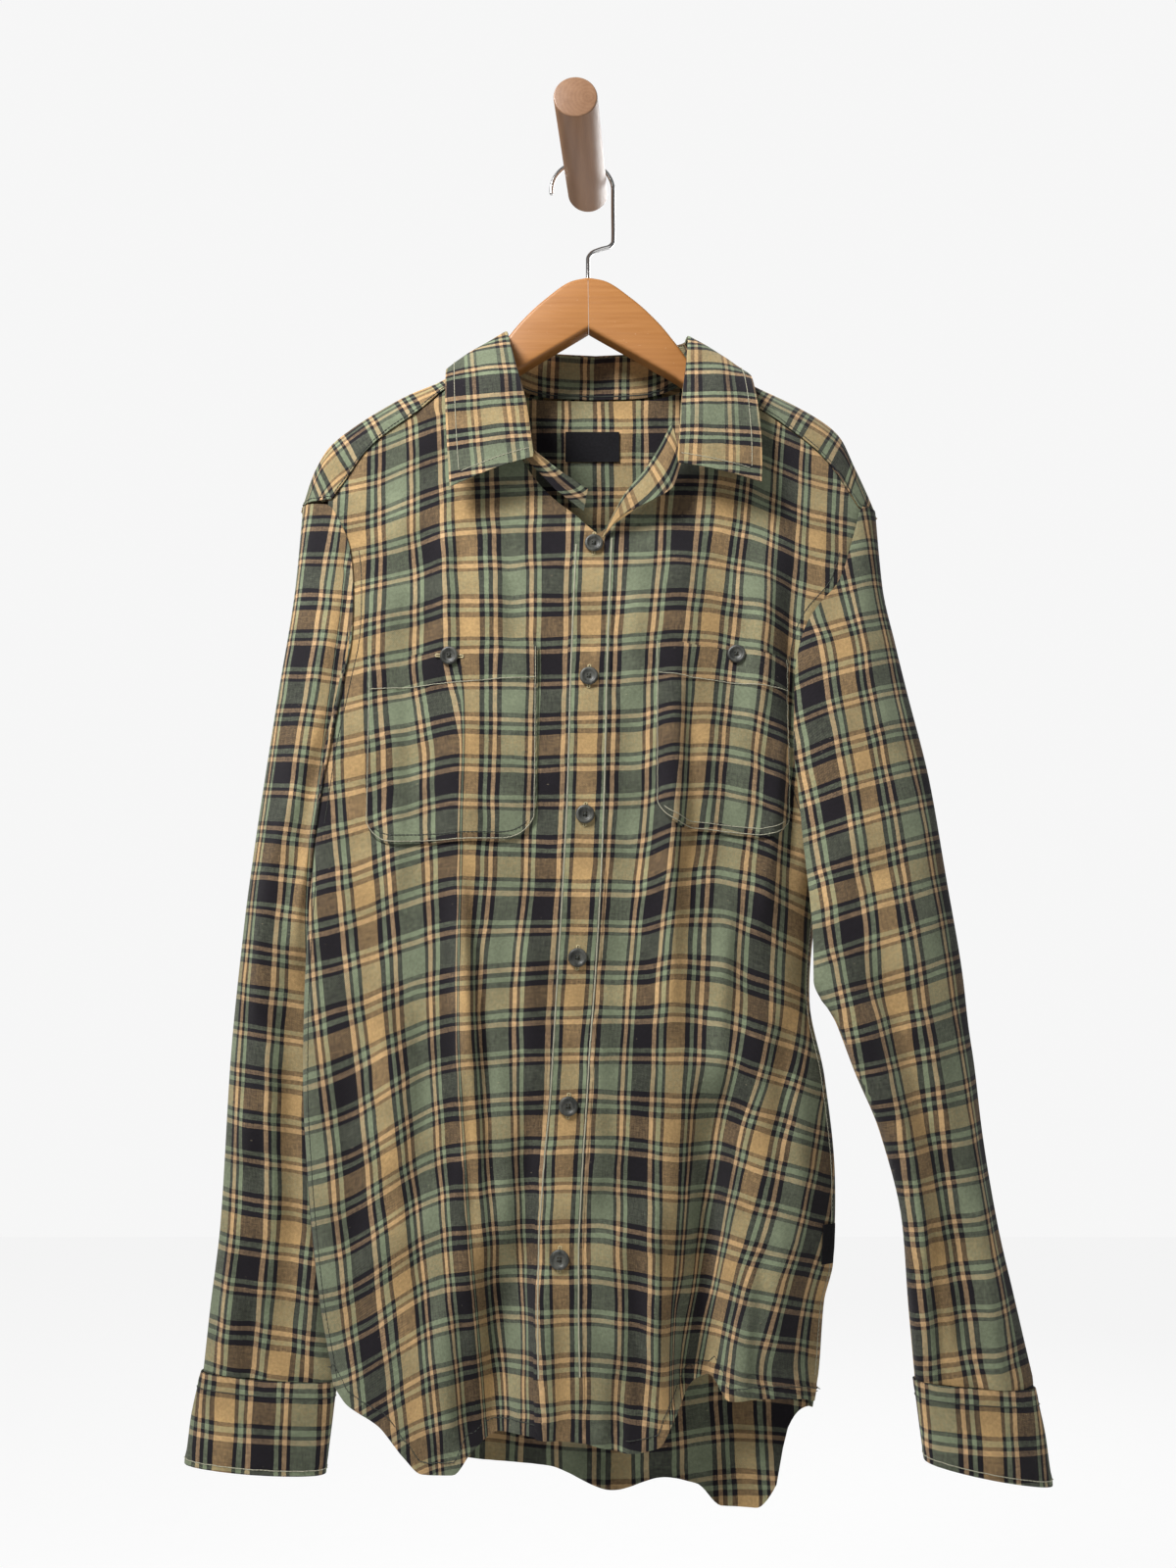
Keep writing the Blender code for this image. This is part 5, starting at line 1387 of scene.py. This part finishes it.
for wearer in WAY:
    points = sleeve_points(wearer, 105, 216)
    outside = (WAY[wearer], 0, 0)
    grain = sleeve_grain(wearer, points)
    upper_arm = sleeve_section(wearer, np.linspace(0, 1, 200)[:, None], np.full((1, 1), UNDERARM))
    width = float(run_of(upper_arm, 0)[-1, 0])
    add_cloth(f"{wearer}_sleeve_tube", points, outside, grain, [f"{wearer}_sleeve"], tube=True, width=width)


# %% Cuffs
def cuff_points(wearer, turns, drop, lift):
    """Points of a cuff at turns counted on from where it opens, and at drops below its seam."""
    lap = ease((turns - CUFF_OPENS_AT - 1 + 0.06) / 0.06) * (CLOTH + 0.8)
    z = round_tube(SLEEVE_END[wearer], turns) - 0.2 - drop
    wider = CUFF_ROWS("half", drop) + lap + lift
    ring = sleeve_section(wearer, turns % 1.0 + 0 * drop, z, wider, creased=False)
    ring[..., 0] += WAY[wearer] * CUFF_ROWS("shift", drop)
    return ring


def cuff_form(wearer, turns, drop):
    """Ripples beside both rows of stitches, and the softness of the cloth between them."""
    edges = pucker(turns * 240, drop - 5, 7, 4.0, 0.22)
    edges = edges + pucker(turns * 240, round_tube(CUFF_HEIGHT[wearer], turns) - 4 - drop, 8, 3.0, 0.25)
    return edges + 0.5 * unevenness(turns * 260, drop, 33, 24, 51)


CUFF_COLUMNS = 132
CUFF_WARP = {"right": -248.5, "left": 262.0}  # x of a gold stripe that runs down each cuff
CUFF_WEFT = 21.0  # how far below a gold stripe of the weft its seam lies
for wearer in WAY:
    turns = CUFF_OPENS_AT + np.linspace(0, 1 + CUFF_LAP, CUFF_COLUMNS)[:, None]
    drop = round_tube(CUFF_HEIGHT[wearer], turns) * np.linspace(0, 1, 30)[None, :]
    ring = cuff_points(wearer, turns, drop, cuff_form(wearer, turns, drop))
    walked = run_of(ring, 0)
    front = int(CUFF_COLUMNS * (1.25 - CUFF_OPENS_AT) / (1 + CUFF_LAP))
    warp = WAY[wearer] * (walked - walked[front]) - (ring[front, :, 0] - CUFF_WARP[wearer])
    weft = CUFF_WEFT - drop + 0 * warp
    add_cloth(f"{wearer}_cuff_band", ring, (0, -1, 0), np.stack([warp, weft], axis=-1), [f"{wearer}_cuff"])

# %% Plackets of the sleeves
for wearer in WAY:
    turns = CUFF_OPENS_AT + np.linspace(-0.04, 0.04, 14)[:, None]
    up = np.linspace(0, 130, 70)[None, :]
    z = round_tube(SLEEVE_END[wearer], turns) + 2 + up
    strip = sleeve_section(wearer, turns + 0 * z, z + 0 * turns, SLEEVE_PLACKET_LIFT[wearer])
    grain = np.stack([run_of(strip, 0) + 36, up + 0 * turns + 12], axis=-1)
    add_cloth(f"{wearer}_sleeve_placket_strip", strip, (0, 1, 0), grain, [f"{wearer}_sleeve_placket"])

# %% [markdown]
# ### Collar
# The stand is sewn to the neck and the fall turns over it at the roll line. The fall is cut the other way up from
# the body, so its check runs upside down when it is worn, as on the real one, and leans along its two front ends.

# %% Stand and fall
STAND_HEIGHT = 30.0
STAND_GRAIN = (20.0, 63.0)  # warp and weft reading where the back's middle meets the neck
# The fall's ends: which one, then how far it runs on past the roll there and at its tip.
FALL_ENDS = ((0, 8.0, 2.0), (-1, 13.0, -2.0))
# Warp of the fall, from either end: distance of a gold stripe, and how much the check leans away from it.
FALL_WARP = {"right": (52.0, 0.24), "left": (19.7 + 5 * REPEAT, 0.185)}
FALL_BLEND = 60.0  # length at each end that follows that end's reading alone
FALL_WEFT = 18.0  # weft reading at the outer edge, counted downwards
FALL_ROW = 8.0  # distance of the stitches from the edge


def collar_point(which, station, sign):
    """seam, roll or edge of the collar at a station of one half, as points."""
    spread = LEFT_SPREAD * ease((station - 4) / 4) if sign > 0 else 0
    x = NECK_MIDDLE + sign * (COLLAR(f"{which}_out", station) + spread)
    lower = LEFT_DROP * np.exp(-(((station - 4.3) / 1.3) ** 2)) if sign > 0 else 0
    return np.stack([x, COLLAR(f"{which}_y", station), COLLAR(f"{which}_z", station) - lower], axis=-1)


def collar_rows(stations_per_half):
    """Signs and stations from the wearer's right end round the back to the left end."""
    half = np.linspace(8, 0, stations_per_half)
    stations = np.concatenate([half, half[-2::-1]])
    signs = np.concatenate([-np.ones(stations_per_half), np.ones(stations_per_half - 1)])
    return signs, stations


def collar_line(which, signs, stations):
    return np.array([collar_point(which, station, sign) for sign, station in zip(signs, stations)])


signs, stations = collar_rows(66)
seam, roll, edge = (collar_line(which, signs, stations) for which in ("seam", "roll", "edge"))
ends = np.array(RIGHT_STAND_END[::-1], float)
ends[:, [0, 3]] = NECK_MIDDLE - ends[:, [0, 3]]
seam_end = along_path(np.concatenate([ends[:, :3], seam[:1]]), np.linspace(0, 1, 17)[:-1])
roll_end = along_path(np.concatenate([ends[:, 3:], roll[:1]]), np.linspace(0, 1, 17)[:-1])
seam_line, roll_line = np.concatenate([seam_end, seam]), np.concatenate([roll_end, roll])
part = np.linspace(0, 1, 18)[None, :, None]
stand = between(seam_line[:, None], roll_line[:, None], part)
outs = grid_outs(stand, (0, 1, 0.2))
walked = run_of(stand, 0)
up = part[..., 0] * STAND_HEIGHT
soft = pucker(walked, up - 3, 9, 5.0, 0.25) + 0.35 * unevenness(walked, up, 24, 18, 61)
stand = stand + outs * soft[..., None]
stand_warp = walked - walked[len(walked) // 2] + STAND_GRAIN[0]
stand_grain = np.stack([stand_warp, run_of(stand, 1) + STAND_GRAIN[1]], axis=-1)
add_cloth("collar_stand_band", stand, (0, 1, 0.2), stand_grain, ["collar_stand"])

rise = unit(roll - seam)
out = unit(np.cross(rise, np.gradient(roll, axis=0)))
start = roll + rise * 1.8 + out * 1.2
part = np.linspace(0, 1, 30)[None, :, None]
over = np.sin(part * math.pi) ** 0.7 * COLLAR("arch", stations)[:, None, None]
fall = between(start[:, None], edge[:, None], part) + (out * 0.6 + rise * 0.8)[:, None] * over
for end, near_roll, at_tip in FALL_ENDS:
    onward = unit(roll[end] - roll[9 if end == 0 else -10])
    near_end = ease((stations - 5.5) / 2.5) * (signs < 0 if end == 0 else signs > 0)
    longer = between(near_roll, at_tip, part[0])
    fall = fall + near_end[:, None, None] * longer * onward
tuck = roll[:, None] + rise[:, None] * 0.5 - out[:, None] * 0.6
fall = np.concatenate([tuck, (tuck + fall[:, :1]) / 2 + rise[:, None] * 0.8, fall], axis=1)
outs = grid_outs(fall, (0, 1, 0.3))
walked, down = run_of(fall, 0), run_of(fall, 1)
from_edge = down[:, -1:] - down
end_walk = np.minimum(walked, walked[-1:] - walked)
soft = 0.5 * unevenness(walked, from_edge, 27, 19, 71) + pucker(walked, from_edge - FALL_ROW, 10, 4.0, 0.2)
fall = fall + outs * (soft * ease(down / FALL_ROW))[..., None]
whole = walked[-1:]
(gold, lean), (far_gold, far_lean) = FALL_WARP["right"], FALL_WARP["left"]
from_right = gold - walked - lean * from_edge
from_left = whole - walked + far_lean * from_edge - far_gold
share = ease((walked - FALL_BLEND) / (whole - 2 * FALL_BLEND))
fall_grain = np.stack([from_right * (1 - share) + from_left * share, -from_edge - FALL_WEFT], axis=-1)
add_cloth("collar_fall", fall, (0, 1, 0.3), fall_grain, ["collar"])
FALL_OUT, FALL_FROM_EDGE, FALL_FROM_END = outs, from_edge, end_walk

# %% Top of the placket, turned out
station = np.linspace(0, 4, 70)[:, None]
part = np.linspace(0, 1, 22)[None, :]
turned = np.stack(
    [
        TURNED_OUT(f"fold_{axis}", station) * (1 - part) + TURNED_OUT(f"free_{axis}", station) * part
        for axis in "xyz"
    ],
    axis=-1,
)
turned[..., 1] -= 1.5 * np.sin(part * math.pi) * ease(station / 2)
walked = run_of(turned, 0)
turned[..., 1] -= 0.35 * unevenness(walked, part * 25, 12, 9, 81) * ease(station / 1.2)
turned_grain = np.stack([run_of(turned, 1), walked], axis=-1) - 12.0
add_cloth("placket_top_folded_out", turned, (0, -1, 0), turned_grain, ["placket_top_turned_out"])


# %% [markdown]
# ### Pockets and labels
# Patch pockets are cut to match the check under them, so they carry the same map as the front. Their top band is
# folded twice and the lower corners are round. The labels are plain black tape, left bare.

# %% Pockets
def across_pocket(wearer, x):
    """Share of the pocket's width from its inner side, and the distance to the nearer side."""
    inner, outer = POCKETS[wearer]["inner"], POCKETS[wearer]["outer"]
    return (x - inner) / (outer - inner), np.minimum(np.abs(x - inner), np.abs(x - outer))


def pocket_ends(wearer, x):
    """Height of a pocket's bottom and top at an x."""
    across, from_side = across_pocket(wearer, x)
    bottom, top = (between(*POCKETS[wearer][end], across) for end in ("bottom", "top"))
    into = np.clip(1 - from_side / POCKET_CORNER, 0, 1)
    return bottom + POCKET_CORNER * (1 - np.sqrt(1 - into**2)), top


def pocket_lift(wearer, x, z):
    """How far a pocket stands off the body: sewn down at its edge, slack in the middle, thicker in its top band."""
    bottom, top = pocket_ends(wearer, x)
    across, from_side = across_pocket(wearer, x)
    edge = np.minimum(from_side, z - bottom)
    below_top = top - z
    form = -0.9 * (1 - ease(edge / 2.2)) + 0.5 * (1 - ease((below_top - POCKET_BAND) / 2))
    form = form + pucker(x + z, edge - 3, 11, 4.0, 0.25) + pucker(x, below_top - POCKET_BAND - 1, 12, 4.0, 0.2)
    up = np.clip((z - bottom) / (top - bottom), 0, 1)
    return POCKET_LIFT + form + 1.2 * np.clip(np.sin(across * math.pi), 0, 1) * (1 - up) * ease(up * 4)


def pocket_points(wearer, columns, rows):
    pocket = POCKETS[wearer]
    x = between(pocket["inner"], pocket["outer"], np.linspace(0, 1, columns)[:, None])
    z = between(*pocket_ends(wearer, x), np.linspace(0, 1, rows)[None, :])
    x = x + 0 * z
    return body_points(x, z, -1, pocket_lift(wearer, x, z)), x, z


POCKET_SLIP = 1.2  # how far the patch's check slips against the one under it
for wearer in WAY:
    points, x, z = pocket_points(wearer, 66, 78)
    add_cloth(f"{wearer}_pocket_patch", points, (0, -1, 0), front_grain(x, z + POCKET_SLIP), [f"{wearer}_pocket"])

# %% Labels
def add_label(name, x, z, side, lift, replaces):
    """A bare tape on the body, thinner than the cloth."""
    x, z = np.broadcast_arrays(x, z)
    label_map = np.stack([x, z], axis=-1)
    points = body_points(x, z, side, lift)
    add_cloth(name, points, (0, -1, 0), label_map, [replaces], LABEL_SHELL, material=LABEL)


LABEL_SHELL = 0.5
x = np.linspace(*NECK_LABEL["sides"], 40)[:, None]
z = np.linspace(*NECK_LABEL["ends"], 26)[None, :]
lift = -(2 * CLOTH + 3 * SEAM + LABEL_WALL) - 0.2 * unevenness(x, z, 9, 9, 91)
add_label("neck_label_tape", x, z, 1, lift, "neck_label")
z = np.linspace(*SIDE_LABEL["ends"], 30)[None, :]
x = side_line(z, "left", "front") - SIDE_LABEL["in"] - SIDE_LABEL["width"] * np.linspace(0, 1, 12)[:, None]
add_label("side_label_tape", x, z, -1, CLOTH + 0.5 + 0.2 * unevenness(x, z, 7, 9, 92), "side_label")

# %% [markdown]
# ### Seams and topstitching
# Stitches draw a shirt: double rows at the placket, the collar, the cuffs and the pockets. Each row is one thread
# that dives into the cloth once a stitch, so it shows as a dotted line. The rows follow the ripples of their cloth.

# %% Rows of stitches on the body
def chain(path, outs, pitch=2.3, radius=0.3):
    """Two threads that cross over each other, as a chain stitch looks from the right side."""
    aside = unit(np.cross(outs, np.gradient(path, axis=0)))
    walked = walk(path)
    at = np.arange(0, walked[-1], pitch / 8)
    line, out, side = (path_at(rows, walked, at) for rows in (path, outs, aside))
    swing = 0.36 * np.sin(at / pitch * 2 * math.pi)[:, None]
    return [thread_tube(line + side * swing * way, out, pitch, radius, 0.1, 0.16) for way in (1, -1)]


def body_thread(x, z, side, lift=0.0):
    """One row of stitches on the body."""
    return thread_tube(*body_row(x, z, side, lift))


pale_rows, cream_rows, dark_rows = [], [], []
for share in (-0.41, 0.41):
    z = np.linspace(PLACKET_TOP + PLACKET_SLOPE * share - 3, -900, 1100)
    z = z[z > FRONT_HEM("height", button_line(-900.0)) + 3]
    x = button_line(z) + share * PLACKET_WIDTH
    pale_rows += chain(*body_row(x, z, -1, placket_lift(x, z)))

for wearer, sign in WAY.items():
    x = np.linspace(NECK_MIDDLE + sign * 19, side_line(-880.0, wearer, "front") - sign * 1.5, 800)
    turned = hem_turn(FRONT_HEM, x)
    z = FRONT_HEM("height", x) + turned
    dark_rows.append(body_thread(x, z, -1, front_lift(wearer, x, z, turned)))
x = np.linspace(side_line(-900.0, "right", "back") + 1, side_line(-900.0, "left", "back") - 1, 1200)
turned = hem_turn(BACK_HEM, x)
dark_rows.append(body_thread(x, BACK_HEM("height", x) + turned, 1, hem_form(x, turned, HEM_SEED["back"])))

SEAM_ROW, ARMHOLE_ROW = 4.5, 6.5  # distance of the stitches from the side seams and from the armholes
z = np.linspace(-560, -905, 700)
for wearer, rows in (("left", pale_rows), ("right", dark_rows)):
    rows.append(body_thread(side_line(z, wearer, "front") - WAY[wearer] * SEAM_ROW, z, -1))
z = np.linspace(-330, UNDERARM + 14, 420)
for wearer, sign in WAY.items():
    for face, side in (("front", -1), ("back", 1)):
        dark_rows.append(body_thread(ARMHOLE(f"{wearer}_{face}", z) - sign * ARMHOLE_ROW, z, side))

# %% Rows of stitches on the pockets
POCKET_EDGE_ROW, POCKET_INNER_ROW = 1.8, 6.2  # distance of both rows from the edge
for wearer in WAY:
    low_side, high_side = sorted((POCKETS[wearer]["inner"], POCKETS[wearer]["outer"]))
    inner_rows = dark_rows if wearer == "right" else pale_rows
    for inset, rows in ((POCKET_EDGE_ROW, pale_rows), (POCKET_INNER_ROW, inner_rows)):
        x = np.linspace(low_side + inset, high_side - inset, 500)
        bottom, top = pocket_ends(wearer, x)
        z = bottom + inset
        if inset == POCKET_EDGE_ROW:  # this row runs on up both sides
            down, up = np.linspace(top[0] - 1, z[0], 240)[:-1], np.linspace(z[-1], top[-1] - 1, 240)[1:]
            x = np.concatenate([np.full(239, x[0]), x, np.full(239, x[-1])])
            z = np.concatenate([down, z, up])
        rows.append(body_thread(x, z, -1, pocket_lift(wearer, x, z)))
    x = np.linspace(low_side + POCKET_EDGE_ROW, high_side - POCKET_EDGE_ROW, 400)
    z = pocket_ends(wearer, x)[1] - POCKET_BAND
    pale_rows.append(body_thread(x, z, -1, pocket_lift(wearer, x, z)))

# %% Rows of stitches on the yoke, the collar and the cuffs
def row_of_grid(points, outs, row, lift=0.0):
    """A path along the columns of a grid at a row, which may be between two."""
    low = np.clip(np.floor(row).astype(int), 0, points.shape[1] - 2)
    part = (row - low)[:, None]
    column = np.arange(points.shape[0])
    path = points[column, low] * (1 - part) + points[column, low + 1] * part
    out = outs[column, low] * (1 - part) + outs[column, low + 1] * part
    return path + out * lift, out


def rows_at(lengths, place):
    """The row, which may be between two, at which each column of a grid of lengths reaches a place."""
    return np.array([np.interp(place, walked, np.arange(len(walked))) for walked in lengths])


# Both rows of the yoke, along its front and its back seam.
yoke_outs = grid_outs(yoke, (0, 1, 0))
down = run_of(yoke, 1)
last = down.shape[1] - 1
for rows in (rows_at(down, 2.2), last - rows_at(down[:, -1:] - down[:, ::-1], 2.2)):
    dark_rows.append(thread_tube(*row_of_grid(yoke, yoke_outs, rows)))

# The fall's outer edge, then its two ends, where the grid is read the other way round.
last = fall.shape[1] - 1
path, out = row_of_grid(fall, FALL_OUT, last - rows_at(FALL_FROM_EDGE[:, ::-1], FALL_ROW))
inside = FALL_FROM_END[:, -6] > FALL_ROW
pale_rows.append(thread_tube(path[inside], out[inside]))
for order in (1, -1):
    from_end = FALL_FROM_END[::order][: fall.shape[0] // 2, 3:]
    grid, outs = (points[::order].transpose(1, 0, 2)[3:] for points in (fall, FALL_OUT))
    path, out = row_of_grid(grid, outs, rows_at(from_end.T, FALL_ROW))
    inside = FALL_FROM_EDGE[::order][5, 3:] > FALL_ROW
    pale_rows.append(thread_tube(path[inside], out[inside]))

# A chain along the inside of the stand, just above the neck seam.
path, out = row_of_grid(stand, grid_outs(stand, (0, 1, 0.2)), np.full(stand.shape[0], 1.2), -WALL)
dark_rows += chain(path, -out, 2.8, 0.3)

# A dark row below each cuff's seam and a pale one above its edge.
turns = CUFF_OPENS_AT + np.linspace(0.004, 0.996 + CUFF_LAP, 900)
for wearer in WAY:
    for rows, down in ((dark_rows, np.full(900, 10.0)), (pale_rows, round_tube(CUFF_HEIGHT[wearer], turns) - 3.5)):
        near, far = (cuff_points(wearer, turns[:, None], down[:, None], lift)[:, 0] for lift in (0.0, 1.0))
        rows.append(thread_tube(near + (far - near) * cuff_form(wearer, turns, down)[:, None], far - near))

# %% [markdown]
# ### Buttons and buttonholes
# A button is turned from a cloudy blank: a sunk face, a rounded rim and four drilled holes. It is sewn on with a
# cross of thread, through a hole bound with close stitches whose ends show beside it. One button is made and copied.

# %% One button
HOLE_RADIUS = 0.62
HOLE_PLACE = 0.98  # from the middle, both ways
# Half of the section through a button, from the middle of its face round the rim: share of the radius, and height.
BUTTON_PROFILE = (
    (0.0, 1.35), (1.2 / BUTTON_RADIUS, 1.3), (0.52, 1.4), (0.60, 1.75), (0.66, 2.3), (0.72, 2.55), (0.80, 2.6),
    (0.90, 2.42), (0.965, 2.05), (1.0, 1.4), (0.96, 0.7), (0.82, 0.15), (0.6, 0.0), (0.0, 0.0),
)


def make_button_mesh():
    """A blank turned from the section, and four holes drilled through it."""
    shape = bmesh.new()
    points = [shape.verts.new((BUTTON_RADIUS * share, 0, height)) for share, height in BUTTON_PROFILE]
    edges = [shape.edges.new(pair) for pair in zip(points, points[1:])]
    bmesh.ops.spin(
        shape, geom=points + edges, cent=(0, 0, 0), axis=(0, 0, 1), angle=2 * math.pi, steps=44, use_merge=True
    )
    bmesh.ops.remove_doubles(shape, verts=shape.verts, dist=1e-4)
    bmesh.ops.recalc_face_normals(shape, faces=shape.faces)
    blank = add_object("button blank", mesh_of("button blank", shape))
    drill = bmesh.new()
    for x, y in ((1, 1), (1, -1), (-1, 1), (-1, -1)):
        bmesh.ops.create_cone(
            drill, cap_ends=True, segments=14, radius1=HOLE_RADIUS, radius2=HOLE_RADIUS, depth=8,
            matrix=Matrix.Translation((x * HOLE_PLACE, y * HOLE_PLACE, 1)),
        )
    cutter = add_object("drill", mesh_of("drill", drill))
    cut = blank.modifiers.new("holes", "BOOLEAN")
    cut.operation = "DIFFERENCE"
    cut.solver = "EXACT"
    cut.object = cutter
    drilled = bpy.data.meshes.new_from_object(blank.evaluated_get(bpy.context.evaluated_depsgraph_get()))
    for thing in (blank, cutter):
        bpy.data.objects.remove(thing)
    return drilled


BUTTON_MESH = make_button_mesh()
print("faces of one button:", len(BUTTON_MESH.polygons))


def place_of(near, out):
    """A frame with its z out of the cloth."""
    turn = Vector(out).to_track_quat("Z", "Y").to_matrix()
    return np.array(near, float), np.array(turn)


def sew_button(name, near, out, replaces, direction, half):
    """A button with its cross of thread, and the buttonhole, which shows past it, by its direction and half length."""
    place, turn = place_of(near, out)
    mesh = BUTTON_MESH.copy()
    mesh.name = name
    mesh.vertices.foreach_set("co", ((places_in(mesh) @ turn.T + place) * MM).ravel())
    finish_piece(name, mesh, BUTTON, [replaces])
    mesh.set_sharp_from_angle(angle=math.radians(42))
    for y in (1, -1):
        at = np.linspace(-1, 1, 15)
        rise = 1.15 + 0.75 * np.sqrt(np.clip(1 - np.abs(at) ** 3, 0, 1)) + (0.2 if y > 0 else 0)
        path = np.stack([at * HOLE_PLACE * 1.12, at * HOLE_PLACE * y * 1.12, rise], axis=-1) @ turn.T + place
        cross_rows.append(thread_tube(path, np.tile(turn[:, 2], (15, 1)), 9, 0.34, 0.0, 0.0))
    bind_hole(place - turn[:, 2] * 0.15, turn[:, 2], direction, half)


def bind_hole(place, out, direction, half):
    """Close stitches all round a slit."""
    direction = unit(direction - out * (np.array(direction, float) @ out))
    aside = np.cross(out, direction)
    turns = np.arange(0, 1, 1 / 130)
    angle = turns * 2 * math.pi
    reach = np.where(np.arange(len(turns)) % 2 == 0, 0.35, 1.35)
    along = np.cos(angle) * (half + reach * 0.6)
    across = np.clip(np.sin(angle) * 3, -1, 1) * reach
    path = place + along[:, None] * direction + across[:, None] * aside + out * 0.12
    cream_rows.append(thread_tube(path, np.tile(out, (len(path), 1)), 1.2, 0.2, 0.05, 0.1))


cross_rows = []
for number in range(6):
    height = FIRST_BUTTON - BUTTON_STEP * number
    x = float(button_line(height))
    near, out = body_row(x, height, -1, placket_lift(x, height) + 0.15)
    sew_button(f"front_button_{number + 1}_turned", near, out, f"front_button_{number + 1}", (0.05, 0, 1), 8.0)
for wearer, (x, height) in POCKET_BUTTONS.items():
    near, out = body_row(x, height, -1, pocket_lift(wearer, x, height) + 0.3)
    sew_button(f"{wearer}_pocket_button_turned", near, out, f"{wearer}_pocket_button", (1, 0, -0.05), 9.6)
for wearer in WAY:
    turn = np.array([[CUFF_OPENS_AT + 0.04]])
    near, far = (cuff_points(wearer, turn, np.array([[30.0]]), lift)[0, 0] for lift in (CLOTH + 1.2, CLOTH + 2.2))
    sew_button(f"{wearer}_cuff_button_turned", near, far - near, f"{wearer}_cuff_button", (1, 0, 0), 8.0)

# %% All the thread
add_threads("khaki_topstitching", pale_rows, PALE_THREAD)
add_threads("dark_topstitching", dark_rows, DARK_THREAD)
add_threads("bound_buttonholes", cream_rows, CREAM_THREAD)
add_threads("thread_in_the_buttons", cross_rows, DARK_THREAD)


# %% [markdown]
# ### Stage, light and camera
# A pale floor lies well below the hem. It glows more the further it runs behind the shirt, so that it meets the pale
# room almost without a line. The main light is a small one from the upper left, which gives every fold an edge. A
# wide one lights the back, and a faint one on the far side lifts the shadows. The room is shown brighter than it
# lights. The camera stands about a metre off and looks slightly upwards.

# %% Floor
FLOOR_HEIGHT = -1.4
FLOOR_GLOW = (0.58, 0.87)  # in front of the shirt, and far behind it
GLOW_FROM, GLOW_OVER = -0.4, 1.6  # y at which the glow starts to grow, and the distance that the ramp covers


def make_floor():
    floor = bmesh.new()
    bmesh.ops.create_grid(floor, x_segments=1, y_segments=1, size=4.0)
    bmesh.ops.translate(floor, verts=floor.verts, vec=(0, 0, FLOOR_HEIGHT))
    piece = add_object("pale_floor", mesh_of("pale_floor", floor))
    material, tree, shader = new_material("pale floor", 0.9)
    place = object_place(tree)
    grain = noise(tree, place, 40, 3.0)
    feed(tree, shader, {"Base Color": mixed(tree, grain, (0.11, 0.11, 0.11, 1), (0.13, 0.13, 0.13, 1))})
    parts = add_node(tree, "ShaderNodeSeparateXYZ", {"Vector": place})
    behind = plus(tree, maths(tree, "DIVIDE", parts.outputs["Y"], GLOW_OVER), -GLOW_FROM / GLOW_OVER)
    glow = colour_ramp(tree, behind, [(at, (grey,) * 3) for at, grey in zip((0.0, 0.85), FLOOR_GLOW)], "EASE")
    feed(tree, shader, {"Emission Color": (1, 1, 1, 1), "Emission Strength": glow})
    piece.data.materials.append(material)


make_floor()

# %% Room and lights
ROOM_LIT, ROOM_SHOWN = 0.15, 0.925  # how brightly the room lights, and how bright the camera sees it
# Each light: its place, what it aims at, its width and height in metres, and its power in watts.
LIGHTS = {
    "key": ((-0.80, -0.95, 0.70), (0, -0.1, -0.45), (0.5, 0.5), 40),
    "behind": ((0.9, 1.5, 0.5), (0, 0, -0.5), (1.2, 1.2), 22),
    "far side": ((1.4, -0.9, 0.2), (0, 0, -0.6), (0.8, 1.2), 2.5),
}


def add_light(name, place, aim, size, power):
    light = bpy.data.lights.new(name, "AREA")
    light.shape = "RECTANGLE"
    light.size, light.size_y = size
    light.energy = power
    holder = add_object(name, light)
    holder.location = place
    holder.rotation_euler = (Vector(aim) - Vector(place)).to_track_quat("-Z", "Y").to_euler()


world = bpy.data.worlds.new("pale room")
world.use_nodes = True
room = world.node_tree
seen = add_node(room, "ShaderNodeLightPath").outputs["Is Camera Ray"]
strength = plus(room, ROOM_LIT, times(room, seen, ROOM_SHOWN - ROOM_LIT))
feed(room, room.nodes["Background"], {"Strength": strength, "Color": (1, 1, 1, 1)})
bpy.context.scene.world = world
bpy.context.scene.view_settings.view_transform = "Standard"
for name, settings in LIGHTS.items():
    add_light(name, *settings)
print("lights:", ", ".join(f"{name} {settings[-1]} W" for name, settings in LIGHTS.items()))

# %% Camera
camera = bpy.data.cameras.new("camera")
camera.lens = 32.6
camera.sensor_fit = "VERTICAL"
camera.sensor_height = 36
camera_holder = add_object("camera", camera)
camera_holder.location = (0, -1.070, -0.670)
camera_holder.rotation_euler = (math.radians(99.5), 0, 0)
bpy.context.scene.camera = camera_holder
print("camera looks up by", round(math.degrees(camera_holder.rotation_euler.x) - 90, 1), "degrees")
